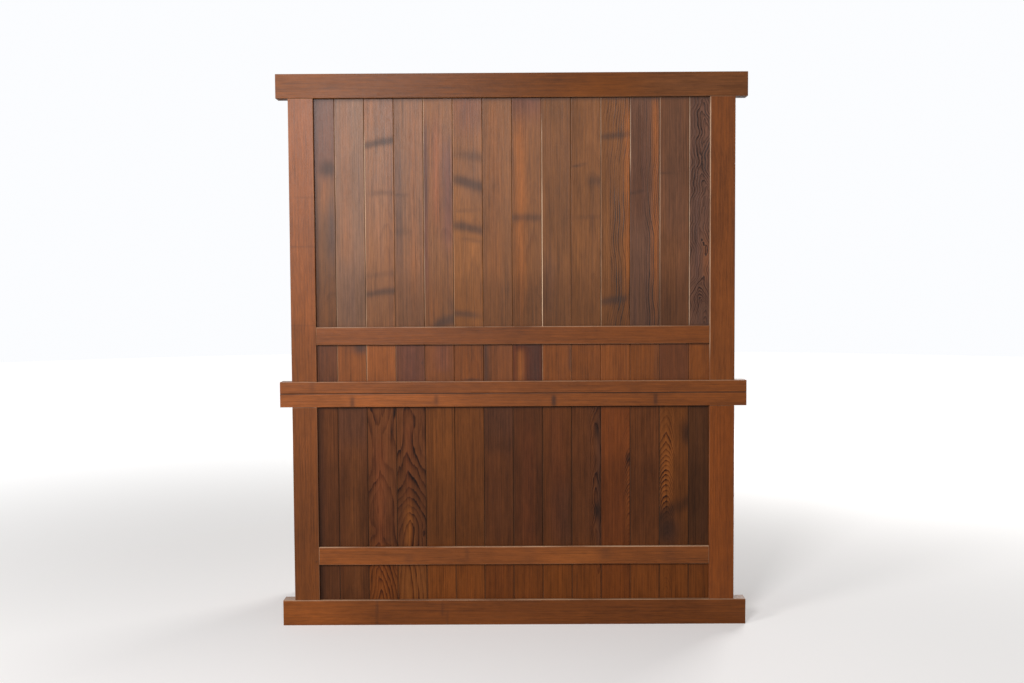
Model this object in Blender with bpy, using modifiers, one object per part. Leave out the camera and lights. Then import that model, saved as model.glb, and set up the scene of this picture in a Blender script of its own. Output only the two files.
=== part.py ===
"""A kitchen tansu: an upper case stacked on a lower case, each with two sliding doors over two drawers.

Metres, +Z up. The front faces -Y and the back +Y. The origin lies under the middle of the whole object,
its handles included, on the surface that it stands on. Left and right are as seen from the front.
"""

import math

import bmesh
import bpy
from mathutils import Matrix, Vector

# Both cases, in plan
CASE_WIDTH = 1.422
CASE_DEPTH = 0.455
POST_WIDTH = 0.080
MEMBER_DEPTH = 0.050
HORN_LENGTH = 0.039
EASE = 0.0012
FIT = 0.0003

# Lower case, from its underside up
LOWER_BASE_RAIL = 0.082
LOWER_DRAWER_OPENING = 0.116
LOWER_MID_RAIL = 0.058
LOWER_DOOR_OPENING = 0.4555
LOWER_TOP_RAIL = 0.043

# Upper case, from its underside up
UPPER_BASE_RAIL = 0.0385
UPPER_DRAWER_OPENING = 0.1185
UPPER_MID_RAIL = 0.057
UPPER_DOOR_OPENING = 0.728
UPPER_TOP_RAIL = 0.077
UPPER_TOP_RECESS = 0.010

# Boards let into the frames
BOARD_THICKNESS = 0.012
BOARD_RECESS = 0.013
BOARD_PITCH = 0.0943
BOARD_GROOVE = 0.009
SEAM_WIDTH = 0.0020
SEAM_DEPTH = 0.0012

# Stub tenons
TENON_LENGTH = 0.025
TENON_WIDTH = 0.028
TENON_THICKNESS = 0.020
RAIL_TENON_LENGTH = 0.020
RAIL_TENON_MARGIN = 0.014
RAIL_TENON_SHARE = 0.5
SIDE_TENON_MARGIN = 0.012
SIDE_TENON_THICKNESS = 0.012
SIDE_TENON_SETBACK = 0.008

# Sides, horizontal boards and what carries them
SIDE_RAIL_THICKNESS = 0.030
RABBET = 0.007
CLEAT_WIDTH = 0.015
CLEAT_HEIGHT = 0.020
GUIDE_HEIGHT = 0.025
KICKER_WIDTH = 0.060
DIVIDER_WIDTH = 0.030
DIVIDER_TENON = 0.012
SHELF_THICKNESS = 0.018
SHELF_SETBACK = 0.012
SHELF_HEIGHT_SHARE = 0.5

# Sliding doors
DOOR_THICKNESS = 0.018
DOOR_SETBACK = 0.002
DOOR_GAP = 0.0025
DOOR_STILE = 0.050
DOOR_TOP_RAIL = 0.050
DOOR_BOTTOM_RAIL = 0.062
DOOR_FOOT_GAP = 0.0008
DOOR_LIFT = 0.004
DOOR_TONGUE = 0.007
TONGUE_PLAY = 0.0005
SILL_GROOVE = 0.003
HEAD_TONGUE = 0.0065
FIELD_RECESS = 0.002
FIELD_LIP = 0.003
CROSSBAR_SETBACK = 0.002
PANEL_THICKNESS = 0.0065
PANEL_LIP = 0.008
DOOR_BOARDS = 6
LATTICE_BAR = 0.012
LATTICE_SPACE = 0.024
LATTICE_CROSSBAR = 0.012
LATTICE_ROWS = 4
BATTEN_COLUMNS = 2
BATTEN_MUNTIN = 0.040
BATTEN_HEIGHT = 0.016
BATTEN_ROWS = 6
PULL_WIDTH = 0.026
PULL_HEIGHT = 0.068
PULL_DEPTH = 0.009
PULL_SIDES = 20

# Drawers
DRAWER_SIDE_GAP = 0.0008
DRAWER_TOP_GAP = 0.002
DRAWER_BACK_GAP = 0.010
DRAWER_SETBACK = 0.002
DRAWER_FRONT = 0.022
DRAWER_SIDE = 0.012
DRAWER_BOTTOM = 0.006
DRAWER_BOTTOM_LIFT = 0.007
DRAWER_BOTTOM_TONGUE = 0.007
TRAY_TOP_STEP = 0.002
TAIL_COUNT = 3
TAIL_LENGTH = 0.014
TAIL_TIP_SHARE = 0.64
TAIL_ROOT_SHARE = 0.44

# Iron handles
PLATE_LENGTH = 0.124
PLATE_HEIGHT = 0.026
PLATE_THICKNESS = 0.0018
PLATE_ARC_STEPS = 6
EYE_SPACING = 0.076
EYE_LENGTH = 0.008
EYE_RADIUS = 0.0055
EYE_STAND = 0.011
EYE_SIDES = 16
EYE_PLAY = 0.0004
BAIL_ROD = 0.0030
BAIL_CLEARANCE = 0.0012
BAIL_END = 0.0015
BAIL_DROP = 0.037
BAIL_SHOULDER = 0.005
BAIL_CORNER = 0.013
BAIL_SWELL_SHARE = 1.4
BAIL_ARC_STEPS = 4
HANDLE_RISE = 0.010

# Cutters run this far past the faces that they open
OVERRUN = 0.004

SIDES = {"left": -1, "right": 1}
ENDS = ("front", "back")
MIRRORED = (-1, 1)

# Places that follow from the sizes above
outer_x = CASE_WIDTH / 2
inner_x = outer_x - POST_WIDTH
rail_end_x = outer_x + HORN_LENGTH
side_inner_x = outer_x - BOARD_RECESS - BOARD_THICKNESS
side_rail_x = outer_x - SIDE_RAIL_THICKNESS
handle_reach = FIT + PLATE_THICKNESS + EYE_STAND + EYE_RADIUS - DRAWER_SETBACK
back_y = (CASE_DEPTH + handle_reach) / 2
front_y = back_y - CASE_DEPTH
back_board_y = back_y - BOARD_RECESS - BOARD_THICKNESS
door_width = (2 * (inner_x - FIT) + DOOR_STILE) / 2


class Case:
    """The levels of one case, from its underside up."""

    def __init__(self, name, base, base_rail, drawer_opening, mid_rail, door_opening, top_rail):
        self.name = name
        self.base = base
        self.floor = base + base_rail
        self.mid_low = self.floor + drawer_opening
        self.mid_high = self.mid_low + mid_rail
        self.head = self.mid_high + door_opening
        self.top = self.head + top_rail


def material(name, color, roughness, metallic=0.0):
    """A plain Principled material."""
    made = bpy.data.materials.new(name)
    made.use_nodes = True
    shader = made.node_tree.nodes["Principled BSDF"]
    shader.inputs["Base Color"].default_value = (*color, 1.0)
    shader.inputs["Roughness"].default_value = roughness
    shader.inputs["Metallic"].default_value = metallic
    made.diffuse_color = (*color, 1.0)
    return made


def add_object(name, data, finish=None, parent=None):
    """Puts an object in the tansu's collection, or in the helpers' when it has no finish."""
    piece = bpy.data.objects.new(name, data)
    if finish is None:
        helpers.objects.link(piece)
        piece.hide_render = True
        piece.display_type = "WIRE"
    else:
        tansu.objects.link(piece)
        data.materials.append(finish)
    piece.parent = parent
    return piece


def block(name, corner, opposite, finish=None, parent=None, ease=0.0):
    """A box between two opposite corners, placed by its centre, with its edges eased."""
    corner = Vector(corner)
    opposite = Vector(opposite)
    size = opposite - corner
    mesh = bpy.data.meshes.new(name)
    shape = bmesh.new()
    bmesh.ops.create_cube(shape, size=1.0)
    bmesh.ops.scale(shape, vec=[abs(length) for length in size], verts=shape.verts)
    shape.to_mesh(mesh)
    shape.free()
    piece = add_object(name, mesh, finish, parent)
    piece.location = (corner + opposite) / 2
    if ease:
        eased = piece.modifiers.new("eased edges", "BEVEL")
        eased.width = ease
        eased.segments = 1
        eased.limit_method = "ANGLE"
    return piece


def grown_block(corner, opposite, grow, parent=None):
    """A helper box that is larger by grow on all sides."""
    low = [min(pair) - grow for pair in zip(corner, opposite)]
    high = [max(pair) + grow for pair in zip(corner, opposite)]
    return block("helper", low, high, parent=parent)


def cylinder(name, radii, length, sides, turn, place, parent):
    """A helper cylinder along its own Z, with two radii for an oval, then turned and placed."""
    mesh = bpy.data.meshes.new(name)
    shape = bmesh.new()
    bmesh.ops.create_cone(
        shape, cap_ends=True, segments=sides, radius1=1.0, radius2=1.0, depth=length
    )
    bmesh.ops.scale(shape, vec=(radii[0], radii[1], 1.0), verts=shape.verts)
    bmesh.ops.transform(shape, matrix=turn, verts=shape.verts)
    shape.to_mesh(mesh)
    shape.free()
    piece = add_object(name, mesh, parent=parent)
    piece.location = place
    return piece


def combine(piece, helper, operation):
    """A Boolean modifier on the piece."""
    change = piece.modifiers.new(operation.lower(), "BOOLEAN")
    change.operation = operation
    change.solver = "EXACT"
    change.object = helper


def unite(piece, helper):
    """Adds the helper's volume to the piece."""
    combine(piece, helper, "UNION")


def cut(piece, helper):
    """Takes the helper's volume from the piece."""
    combine(piece, helper, "DIFFERENCE")


def cut_box(piece, corner, opposite, parent=None):
    """Takes a box from the piece."""
    cut(piece, block("cutter", corner, opposite, parent=parent))


def tenon(tenoned, mortised, corner, opposite, parent=None):
    """A tenon whose root lies inside the tenoned piece, and its mortise, larger by FIT."""
    unite(tenoned, grown_block(corner, opposite, 0, parent))
    cut(mortised, grown_block(corner, opposite, FIT, parent))


def outline_solid(name, outline, thickness, finish, parent=None):
    """A flat outline, extruded by half its thickness to each side of its own XY plane."""
    curve = bpy.data.curves.new(name, "CURVE")
    curve.dimensions = "2D"
    curve.fill_mode = "BOTH"
    curve.extrude = thickness / 2
    spline = curve.splines.new("POLY")
    spline.points.add(len(outline) - 1)
    for point, (x, y) in zip(spline.points, outline):
        point.co = (x, y, 0, 1)
    spline.use_cyclic_u = True
    return add_object(name, curve, finish, parent)


def as_mesh(solid, finish):
    """Turns a curve object into a welded mesh, which Booleans can take."""
    bpy.context.view_layer.update()
    graph = bpy.context.evaluated_depsgraph_get()
    mesh = bpy.data.meshes.new_from_object(solid.evaluated_get(graph))
    shape = bmesh.new()
    shape.from_mesh(mesh)
    bmesh.ops.remove_doubles(shape, verts=shape.verts, dist=FIT / 10)
    bmesh.ops.recalc_face_normals(shape, faces=shape.faces)
    shape.to_mesh(mesh)
    shape.free()
    mesh.materials.clear()
    name = solid.name
    place = solid.matrix_basis.copy()
    parent = solid.parent
    bpy.data.objects.remove(solid)
    piece = add_object(name, mesh, finish, parent)
    piece.matrix_basis = place
    return piece


def seams_at_pitch(half_width):
    """Seams a board apart, with one on the middle, as far out as whole boards reach."""
    count = int(half_width / BOARD_PITCH)
    return [step * BOARD_PITCH for step in range(-count, count + 1)]


def boards_outline(half_width, thickness, seams, show_face):
    """The plan of boards side by side, with a small V at each seam on the face that shows."""
    edge = show_face * thickness / 2
    outline = [(-half_width, -edge), (-half_width, edge)]
    for seam in seams:
        outline.append((seam - SEAM_WIDTH / 2, edge))
        outline.append((seam, edge - show_face * SEAM_DEPTH))
        outline.append((seam + SEAM_WIDTH / 2, edge))
    outline += [(half_width, edge), (half_width, -edge)]
    return outline


def depth_from(end, depth):
    """The Y of a place at this depth behind the front or the back face of a case."""
    return front_y + depth if end == "front" else back_y - depth


def build_posts(case):
    """The four posts of a case, between its through rails."""
    posts = {}
    for end in ENDS:
        for side_name, side in SIDES.items():
            name = f"{case.name}_post_{end}_{side_name}"
            posts[end, side_name] = block(
                name,
                (side * inner_x, depth_from(end, 0), case.floor + FIT),
                (side * outer_x, depth_from(end, MEMBER_DEPTH), case.head - FIT),
                frame_wood,
                ease=EASE,
            )
    return posts


def build_through_rails(case, posts):
    """The bottom and top rails, which run past the posts in horns and take the posts' tenons."""
    rails = {}
    levels = {"base": (case.base, case.floor), "top": (case.head, case.top)}
    for end in ENDS:
        for level, (low, high) in levels.items():
            rail = block(
                f"{case.name}_{end}_{level}_rail",
                (-rail_end_x, depth_from(end, 0), low),
                (rail_end_x, depth_from(end, MEMBER_DEPTH), high),
                frame_wood,
                ease=EASE,
            )
            rails[end, level] = rail
            shoulder = high if level == "base" else low
            for side_name, side in SIDES.items():
                middle_x = side * (inner_x + outer_x) / 2
                middle_y = depth_from(end, MEMBER_DEPTH / 2)
                tenon(
                    posts[end, side_name],
                    rail,
                    (
                        middle_x - TENON_WIDTH / 2,
                        middle_y - TENON_THICKNESS / 2,
                        shoulder - TENON_LENGTH,
                    ),
                    (
                        middle_x + TENON_WIDTH / 2,
                        middle_y + TENON_THICKNESS / 2,
                        shoulder + TENON_LENGTH,
                    ),
                )
    return rails


def build_mid_rail(case, end, thickness, posts):
    """A rail between two posts, with a tenon at each end."""
    rail = block(
        f"{case.name}_{end}_mid_rail",
        (-inner_x + FIT, depth_from(end, 0), case.mid_low),
        (inner_x - FIT, depth_from(end, thickness), case.mid_high),
        frame_wood,
        ease=EASE,
    )
    solid_from = BOARD_RECESS + BOARD_THICKNESS if thickness > BOARD_RECESS else 0
    middle = (solid_from + thickness) / 2
    half = (thickness - solid_from) * RAIL_TENON_SHARE / 2
    for side_name, side in SIDES.items():
        tenon(
            rail,
            posts[end, side_name],
            (
                side * (inner_x - RAIL_TENON_LENGTH),
                depth_from(end, middle - half),
                case.mid_low + RAIL_TENON_MARGIN,
            ),
            (
                side * (inner_x + RAIL_TENON_LENGTH),
                depth_from(end, middle + half),
                case.mid_high - RAIL_TENON_MARGIN,
            ),
        )
    return rail


def build_back_boards(name, low, high, lower_rail, upper_rail):
    """Upright boards let into the grooves of the rails below and above them."""
    let_in = BOARD_GROOVE - FIT
    half_width = inner_x + let_in
    boards = outline_solid(
        name,
        boards_outline(half_width, BOARD_THICKNESS, seams_at_pitch(inner_x), 1),
        high - low + 2 * let_in,
        board_wood,
    )
    boards.location = (0, back_board_y + BOARD_THICKNESS / 2, (low + high) / 2)
    near = back_board_y - FIT
    far = back_board_y + BOARD_THICKNESS + FIT
    groove_x = inner_x + BOARD_GROOVE
    for rail, edge, away in ((lower_rail, low, -1), (upper_rail, high, 1)):
        cut_box(
            rail,
            (-groove_x, near, edge + away * BOARD_GROOVE),
            (groove_x, far, edge - away * OVERRUN),
        )


def groove_back_posts(case, posts):
    """The grooves of the back posts that take the outer boards of the back."""
    for side_name, side in SIDES.items():
        cut_box(
            posts["back", side_name],
            (
                side * (inner_x - OVERRUN),
                back_board_y - FIT,
                case.floor - OVERRUN,
            ),
            (
                side * (inner_x + BOARD_GROOVE),
                back_board_y + BOARD_THICKNESS + FIT,
                case.head + OVERRUN,
            ),
        )


def build_side(case, side_name, side, posts, rails, cleat_levels):
    """One side: upright boards fused with three rails and the cleats that carry the boards inside."""
    name = f"{case.name}_side_{side_name}"
    low_y = front_y + MEMBER_DEPTH
    high_y = back_y - MEMBER_DEPTH
    let_in = BOARD_GROOVE - FIT
    half_width = (high_y - low_y) / 2 + let_in
    seams = seams_at_pitch((high_y - low_y) / 2)
    boards = outline_solid(
        name,
        boards_outline(half_width, BOARD_THICKNESS, seams, -side),
        case.head - case.floor + 2 * let_in,
        board_wood,
    )
    boards.rotation_euler.z = math.pi / 2
    boards.location = (
        side * (side_inner_x + BOARD_THICKNESS / 2),
        (low_y + high_y) / 2,
        (case.floor + case.head) / 2,
    )
    panel = as_mesh(boards, frame_wood)
    for low, high, neighbours in (
        (case.base, case.floor, [rails[end, "base"] for end in ENDS]),
        (case.mid_low, case.mid_high, [posts[end, side_name] for end in ENDS]),
        (case.head, case.top, [rails[end, "top"] for end in ENDS]),
    ):
        rail = block(
            f"{name}_rail",
            (side * side_rail_x, low_y + FIT, low),
            (side * outer_x, high_y - FIT, high),
            ease=EASE,
        )
        unite(panel, rail)
        add_side_tenons(panel, side, low, high, neighbours)
    for level in cleat_levels:
        cleat = block(
            f"{name}_cleat",
            (side * (side_inner_x - CLEAT_WIDTH), low_y + OVERRUN, level - FIT - CLEAT_HEIGHT),
            (side * (side_inner_x + BOARD_THICKNESS / 2), high_y - OVERRUN, level - FIT),
        )
        unite(panel, cleat)
    groove_for_side(case, side_name, side, posts, rails)
    return panel


def add_side_tenons(panel, side, low, high, neighbours):
    """Tenons from a side's rail into its neighbours at the front and the back."""
    outer = outer_x - SIDE_TENON_SETBACK
    for end, neighbour in zip(ENDS, neighbours):
        tenon(
            panel,
            neighbour,
            (
                side * (outer - SIDE_TENON_THICKNESS),
                depth_from(end, MEMBER_DEPTH - RAIL_TENON_LENGTH),
                low + SIDE_TENON_MARGIN,
            ),
            (
                side * outer,
                depth_from(end, MEMBER_DEPTH + RAIL_TENON_LENGTH),
                high - SIDE_TENON_MARGIN,
            ),
        )


def groove_for_side(case, side_name, side, posts, rails):
    """The grooves that take the edges of a side's boards."""
    for end in ENDS:
        for member in (posts[end, side_name], rails[end, "base"], rails[end, "top"]):
            cut_box(
                member,
                (
                    side * (side_inner_x - FIT),
                    depth_from(end, MEMBER_DEPTH - BOARD_GROOVE),
                    case.floor - BOARD_GROOVE,
                ),
                (
                    side * (side_inner_x + BOARD_THICKNESS + FIT),
                    depth_from(end, MEMBER_DEPTH + OVERRUN),
                    case.head + BOARD_GROOVE,
                ),
            )


def rabbet(member, end, half_width, level, height):
    """A step in the inner top edge of a member, on which a board lies with its top at the level."""
    cut_box(
        member,
        (-half_width, depth_from(end, MEMBER_DEPTH - RABBET), level - BOARD_THICKNESS - FIT),
        (half_width, depth_from(end, MEMBER_DEPTH + OVERRUN), level + height + OVERRUN),
    )


def build_top_board(case, rails, sides, recess):
    """The top board, which lies in rabbets of the top rails and of the sides."""
    level = case.top - recess
    half_width = side_rail_x + RABBET
    block(
        f"{case.name}_top_board",
        (-half_width + FIT, depth_from("front", MEMBER_DEPTH - RABBET) + FIT, level),
        (
            half_width - FIT,
            depth_from("back", MEMBER_DEPTH - RABBET) - FIT,
            level - BOARD_THICKNESS,
        ),
        board_wood,
        ease=EASE,
    )
    for end in ENDS:
        rabbet(rails[end, "top"], end, half_width, level, recess)
    for side_name, side in SIDES.items():
        cut_box(
            sides[side_name],
            (side * (side_rail_x - OVERRUN), front_y, level - BOARD_THICKNESS - FIT),
            (side * half_width, back_y, case.top + OVERRUN),
        )


def build_bottom_board(case, rails):
    """The board that the drawers run on, with a guide along each side."""
    half_width = side_rail_x - FIT
    board = block(
        f"{case.name}_bottom_board",
        (-half_width, depth_from("front", MEMBER_DEPTH - RABBET) + FIT, case.floor),
        (
            half_width,
            depth_from("back", MEMBER_DEPTH - RABBET) - FIT,
            case.floor - BOARD_THICKNESS,
        ),
        inner_wood,
    )
    for side in MIRRORED:
        guide = block(
            "guide",
            (side * inner_x, depth_from("front", MEMBER_DEPTH) + FIT, case.floor + GUIDE_HEIGHT),
            (
                side * (half_width - FIT),
                depth_from("back", MEMBER_DEPTH) - FIT,
                case.floor - BOARD_THICKNESS / 2,
            ),
        )
        unite(board, guide)
    for end in ENDS:
        rabbet(rails[end, "base"], end, side_rail_x, case.floor, 0)


def notch_for_posts(board, level, ends):
    """Cuts the corners of a horizontal board clear of the posts."""
    for end in ends:
        for side in MIRRORED:
            cut_box(
                board,
                (
                    side * (inner_x - FIT),
                    depth_from(end, 0),
                    level - SHELF_THICKNESS - OVERRUN,
                ),
                (side * outer_x, depth_from(end, MEMBER_DEPTH + FIT), level + OVERRUN),
            )


def build_deck(case, front_mid_rail, back_mid_rail):
    """The floor of the door compartment, with three kickers below it that keep the drawers level."""
    half_width = side_rail_x - FIT
    if back_mid_rail is None:
        back_edge = back_board_y - FIT
    else:
        back_edge = depth_from("back", MEMBER_DEPTH - RABBET) - FIT
        rabbet(back_mid_rail, "back", inner_x, case.mid_high, 0)
    rabbet(front_mid_rail, "front", inner_x, case.mid_high, 0)
    deck = block(
        f"{case.name}_drawer_deck",
        (-half_width, depth_from("front", MEMBER_DEPTH - RABBET) + FIT, case.mid_high),
        (half_width, back_edge, case.mid_high - BOARD_THICKNESS),
        inner_wood,
    )
    notch_for_posts(deck, case.mid_high, ENDS)
    for middle_x in (-inner_x, 0, inner_x):
        kicker = block(
            "kicker",
            (
                middle_x - KICKER_WIDTH / 2,
                depth_from("front", MEMBER_DEPTH) + FIT,
                case.mid_low,
            ),
            (
                middle_x + KICKER_WIDTH / 2,
                depth_from("back", MEMBER_DEPTH) - FIT,
                case.mid_high - BOARD_THICKNESS / 2,
            ),
        )
        unite(deck, kicker)


def build_divider(case, base_rail, mid_rail):
    """The upright between the two drawers, tenoned to the front rails."""
    divider = block(
        f"{case.name}_drawer_divider",
        (-DIVIDER_WIDTH / 2, front_y, case.floor + FIT),
        (DIVIDER_WIDTH / 2, back_board_y - FIT, case.mid_low - FIT),
        frame_wood,
        ease=EASE,
    )
    middle_y = depth_from("front", MEMBER_DEPTH / 2)
    for rail, shoulder in ((base_rail, case.floor), (mid_rail, case.mid_low)):
        tenon(
            divider,
            rail,
            (
                -DIVIDER_TENON / 2,
                middle_y - TENON_THICKNESS / 2,
                shoulder - RAIL_TENON_LENGTH,
            ),
            (
                DIVIDER_TENON / 2,
                middle_y + TENON_THICKNESS / 2,
                shoulder + RAIL_TENON_LENGTH,
            ),
        )


def build_shelf(case):
    """The shelf of the upper case, which lies on the cleats of the sides."""
    level = shelf_level(case)
    shelf = block(
        f"{case.name}_shelf",
        (
            -side_inner_x + FIT,
            depth_from("front", MEMBER_DEPTH) + SHELF_SETBACK,
            level,
        ),
        (side_inner_x - FIT, back_board_y - FIT, level - SHELF_THICKNESS),
        inner_wood,
        ease=EASE,
    )
    notch_for_posts(shelf, level, ("back",))


def shelf_level(case):
    """The height of the shelf's upper face."""
    return case.mid_high + (case.head - case.mid_high) * SHELF_HEIGHT_SHARE


def track_depth(track):
    """How far behind the front face of the case the door in this track begins."""
    return DOOR_SETBACK + track * (DOOR_THICKNESS + DOOR_GAP)


def cut_tracks(sill, head, case):
    """Two grooves in the sill and two deeper ones in the head, for the tongues of the doors."""
    for track in (0, 1):
        middle = front_y + track_depth(track) + DOOR_THICKNESS / 2
        half = DOOR_TONGUE / 2 + TONGUE_PLAY
        cut_box(
            sill,
            (-inner_x - OVERRUN, middle - half, case.mid_high - SILL_GROOVE),
            (inner_x + OVERRUN, middle + half, case.mid_high + OVERRUN),
        )
        cut_box(
            head,
            (-inner_x, middle - half, case.head - OVERRUN),
            (inner_x, middle + half, case.head + HEAD_TONGUE + DOOR_LIFT + TONGUE_PLAY),
        )


def equal_spans(low, high, count, bar):
    """The open spans between count - 1 equal bars that share a field out evenly."""
    span = (high - low - (count - 1) * bar) / count
    return [(low + i * (span + bar), low + i * (span + bar) + span) for i in range(count)]


def boxes(name, corners, parent):
    """One helper of separate boxes, each between a low and a high corner."""
    mesh = bpy.data.meshes.new(name)
    shape = bmesh.new()
    for low, high in corners:
        size = Vector(high) - Vector(low)
        middle = (Vector(high) + Vector(low)) / 2
        place = Matrix.Translation(middle) @ Matrix.Diagonal((*size, 1.0))
        bmesh.ops.create_cube(shape, size=1.0, matrix=place)
    shape.to_mesh(mesh)
    shape.free()
    return add_object(name, mesh, parent=parent)


def cut_lattice(frame, field_x, field_low, field_high, pattern, place):
    """Opens the frame's field to upright bars, and threads crossbars through them."""
    columns, bar, rows, crossbar = pattern
    cut_box(
        frame,
        (-field_x, -OVERRUN, field_low),
        (field_x, FIELD_RECESS, field_high),
        place,
    )
    low = field_low + FIELD_LIP
    high = field_high - FIELD_LIP
    slots = [
        ((left, 0, low), (right, DOOR_THICKNESS + OVERRUN, high))
        for left, right in equal_spans(-field_x + FIELD_LIP, field_x - FIELD_LIP, columns, bar)
    ]
    cut(frame, boxes("slots", slots, place))
    near = FIELD_RECESS + CROSSBAR_SETBACK
    far = DOOR_THICKNESS - PANEL_THICKNESS - CROSSBAR_SETBACK
    spans = equal_spans(low, high, rows, crossbar)
    bars = [
        ((-field_x - FIELD_LIP, near, below[1]), (field_x + FIELD_LIP, far, above[0]))
        for below, above in zip(spans, spans[1:])
    ]
    unite(frame, boxes("crossbars", bars, place))


def build_door(case, side_name, side, track, frame_name, pattern):
    """A sliding door: a frame with its bars, tongues and oval pull, and a board panel behind them."""
    body = f"{case.name}_{side_name}_door"
    place = bpy.data.objects.new(body, None)
    tansu.objects.link(place)
    place.location = (
        side * (inner_x - FIT - door_width / 2),
        front_y + track_depth(track),
        case.mid_high,
    )
    half_width = door_width / 2
    low = DOOR_FOOT_GAP
    high = case.head - case.mid_high - DOOR_LIFT
    frame = block(
        f"{body}_{frame_name}",
        (-half_width, 0, low),
        (half_width, DOOR_THICKNESS, high),
        door_wood,
        place,
        EASE,
    )
    field_x = half_width - DOOR_STILE
    field_low = low + DOOR_BOTTOM_RAIL
    field_high = high - DOOR_TOP_RAIL
    cut_lattice(frame, field_x, field_low, field_high, pattern, place)
    add_tongues(frame, half_width, low, high, case.head - case.mid_high, place)
    pull = cylinder(
        "pull",
        (PULL_WIDTH / 2, PULL_HEIGHT / 2),
        2 * PULL_DEPTH,
        PULL_SIDES,
        Matrix.Rotation(math.pi / 2, 4, "X"),
        (side * (half_width - DOOR_STILE / 2), 0, (low + high) / 2),
        place,
    )
    cut(frame, pull)
    build_door_panel(f"{body}_panel", frame, field_x, field_low, field_high, place)


def add_tongues(frame, half_width, low, high, head, place):
    """The tongues that run in the sill and in the head."""
    for bottom, top in (
        (FIT - SILL_GROOVE, low + DOOR_BOTTOM_RAIL / 2),
        (high - DOOR_TOP_RAIL / 2, head + HEAD_TONGUE),
    ):
        tongue = block(
            "tongue",
            (-half_width + EASE, (DOOR_THICKNESS - DOOR_TONGUE) / 2, bottom),
            (half_width - EASE, (DOOR_THICKNESS + DOOR_TONGUE) / 2, top),
            parent=place,
        )
        unite(frame, tongue)


def build_door_panel(name, frame, field_x, field_low, field_high, place):
    """The boards in the rabbet at the back of a door's frame."""
    half_width = field_x + PANEL_LIP
    low = field_low - PANEL_LIP
    high = field_high + PANEL_LIP
    cut_box(
        frame,
        (-half_width, DOOR_THICKNESS - PANEL_THICKNESS - FIT, low),
        (half_width, DOOR_THICKNESS + OVERRUN, high),
        place,
    )
    seams = [span[1] for span in equal_spans(-half_width, half_width, DOOR_BOARDS, 0)[:-1]]
    panel = outline_solid(
        name,
        boards_outline(half_width - FIT, PANEL_THICKNESS, seams, -1),
        high - low - 2 * FIT,
        board_wood,
        place,
    )
    panel.location = (0, DOOR_THICKNESS - PANEL_THICKNESS / 2, (low + high) / 2)


def tail(name, spread, low_x, high_x, tip_y, root_y, middle_z, tip, root, parent):
    """A dovetail: a box whose height narrows from its tip to its root, larger by spread."""
    mesh = bpy.data.meshes.new(name)
    shape = bmesh.new()
    bmesh.ops.create_cube(shape, size=1.0)
    for corner in shape.verts:
        at_tip = corner.co.y < 0
        height = tip if at_tip else root
        corner.co.x = high_x if corner.co.x > 0 else low_x
        corner.co.y = tip_y - spread if at_tip else root_y + spread
        corner.co.z = middle_z + math.copysign(height / 2 + spread, corner.co.z)
    bmesh.ops.recalc_face_normals(shape, faces=shape.faces)
    shape.to_mesh(mesh)
    shape.free()
    return add_object(name, mesh, parent=parent)


def build_drawer(case, side_name, side):
    """A drawer: a front with lapped dovetails, a tray of sides, back and bottom, and its iron handle."""
    prefix = f"{case.name}_{side_name}"
    low_x = DIVIDER_WIDTH / 2 + DRAWER_SIDE_GAP
    high_x = inner_x - DRAWER_SIDE_GAP
    half_width = (high_x - low_x) / 2
    height = case.mid_low - case.floor - DRAWER_TOP_GAP - FIT
    place = bpy.data.objects.new(f"{prefix}_drawer", None)
    tansu.objects.link(place)
    place.location = (side * (low_x + half_width), front_y + DRAWER_SETBACK, case.floor + FIT)
    front = block(
        f"{prefix}_drawer_front",
        (-half_width, 0, 0),
        (half_width, DRAWER_FRONT, height),
        drawer_wood,
        place,
        EASE,
    )
    length = back_board_y - DRAWER_BACK_GAP - front_y - DRAWER_SETBACK
    wall_top = height - TRAY_TOP_STEP
    tray = block(
        f"{prefix}_drawer_tray",
        (-half_width, DRAWER_FRONT + FIT, 0),
        (half_width, length, wall_top),
        inner_wood,
        place,
    )
    inside_x = half_width - DRAWER_SIDE
    inside_y = length - DRAWER_SIDE
    floor_low = DRAWER_BOTTOM_LIFT
    floor_high = DRAWER_BOTTOM_LIFT + DRAWER_BOTTOM
    cut_box(
        tray,
        (-inside_x, DRAWER_FRONT - OVERRUN, floor_high),
        (inside_x, inside_y, wall_top + OVERRUN),
        place,
    )
    cut_box(
        tray,
        (-inside_x, DRAWER_FRONT - OVERRUN, -OVERRUN),
        (inside_x, inside_y, floor_low),
        place,
    )
    tenon(
        tray,
        front,
        (-inside_x + EASE, DRAWER_FRONT - DRAWER_BOTTOM_TONGUE, floor_low + FIT),
        (inside_x - EASE, DRAWER_FRONT + DRAWER_BOTTOM_TONGUE, floor_high - FIT),
        place,
    )
    pitch = wall_top / TAIL_COUNT
    for wall in MIRRORED:
        inner_face = wall * inside_x
        outer_face = wall * half_width
        past_end = wall * (half_width + OVERRUN)
        past_inside = wall * (inside_x - FIT)
        for step in range(TAIL_COUNT):
            middle_z = pitch * (step + 0.5)
            across = (DRAWER_FRONT - TAIL_LENGTH, DRAWER_FRONT + OVERRUN, middle_z)
            heights = (pitch * TAIL_TIP_SHARE, pitch * TAIL_ROOT_SHARE)
            low_face, high_face = sorted((inner_face, outer_face))
            unite(tray, tail("tail", 0, low_face, high_face, *across, *heights, place))
            low_face, high_face = sorted((past_inside, past_end))
            cut(front, tail("socket", FIT, low_face, high_face, *across, *heights, place))
    build_handle(prefix, height / 2 + HANDLE_RISE, place)


def arc(centre, radius, start, end, steps):
    """Points on an arc from one angle to another, in degrees."""
    turns = [math.radians(start + (end - start) * step / steps) for step in range(steps + 1)]
    return [
        (centre[0] + radius * math.cos(turn), centre[1] + radius * math.sin(turn))
        for turn in turns
    ]


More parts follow.
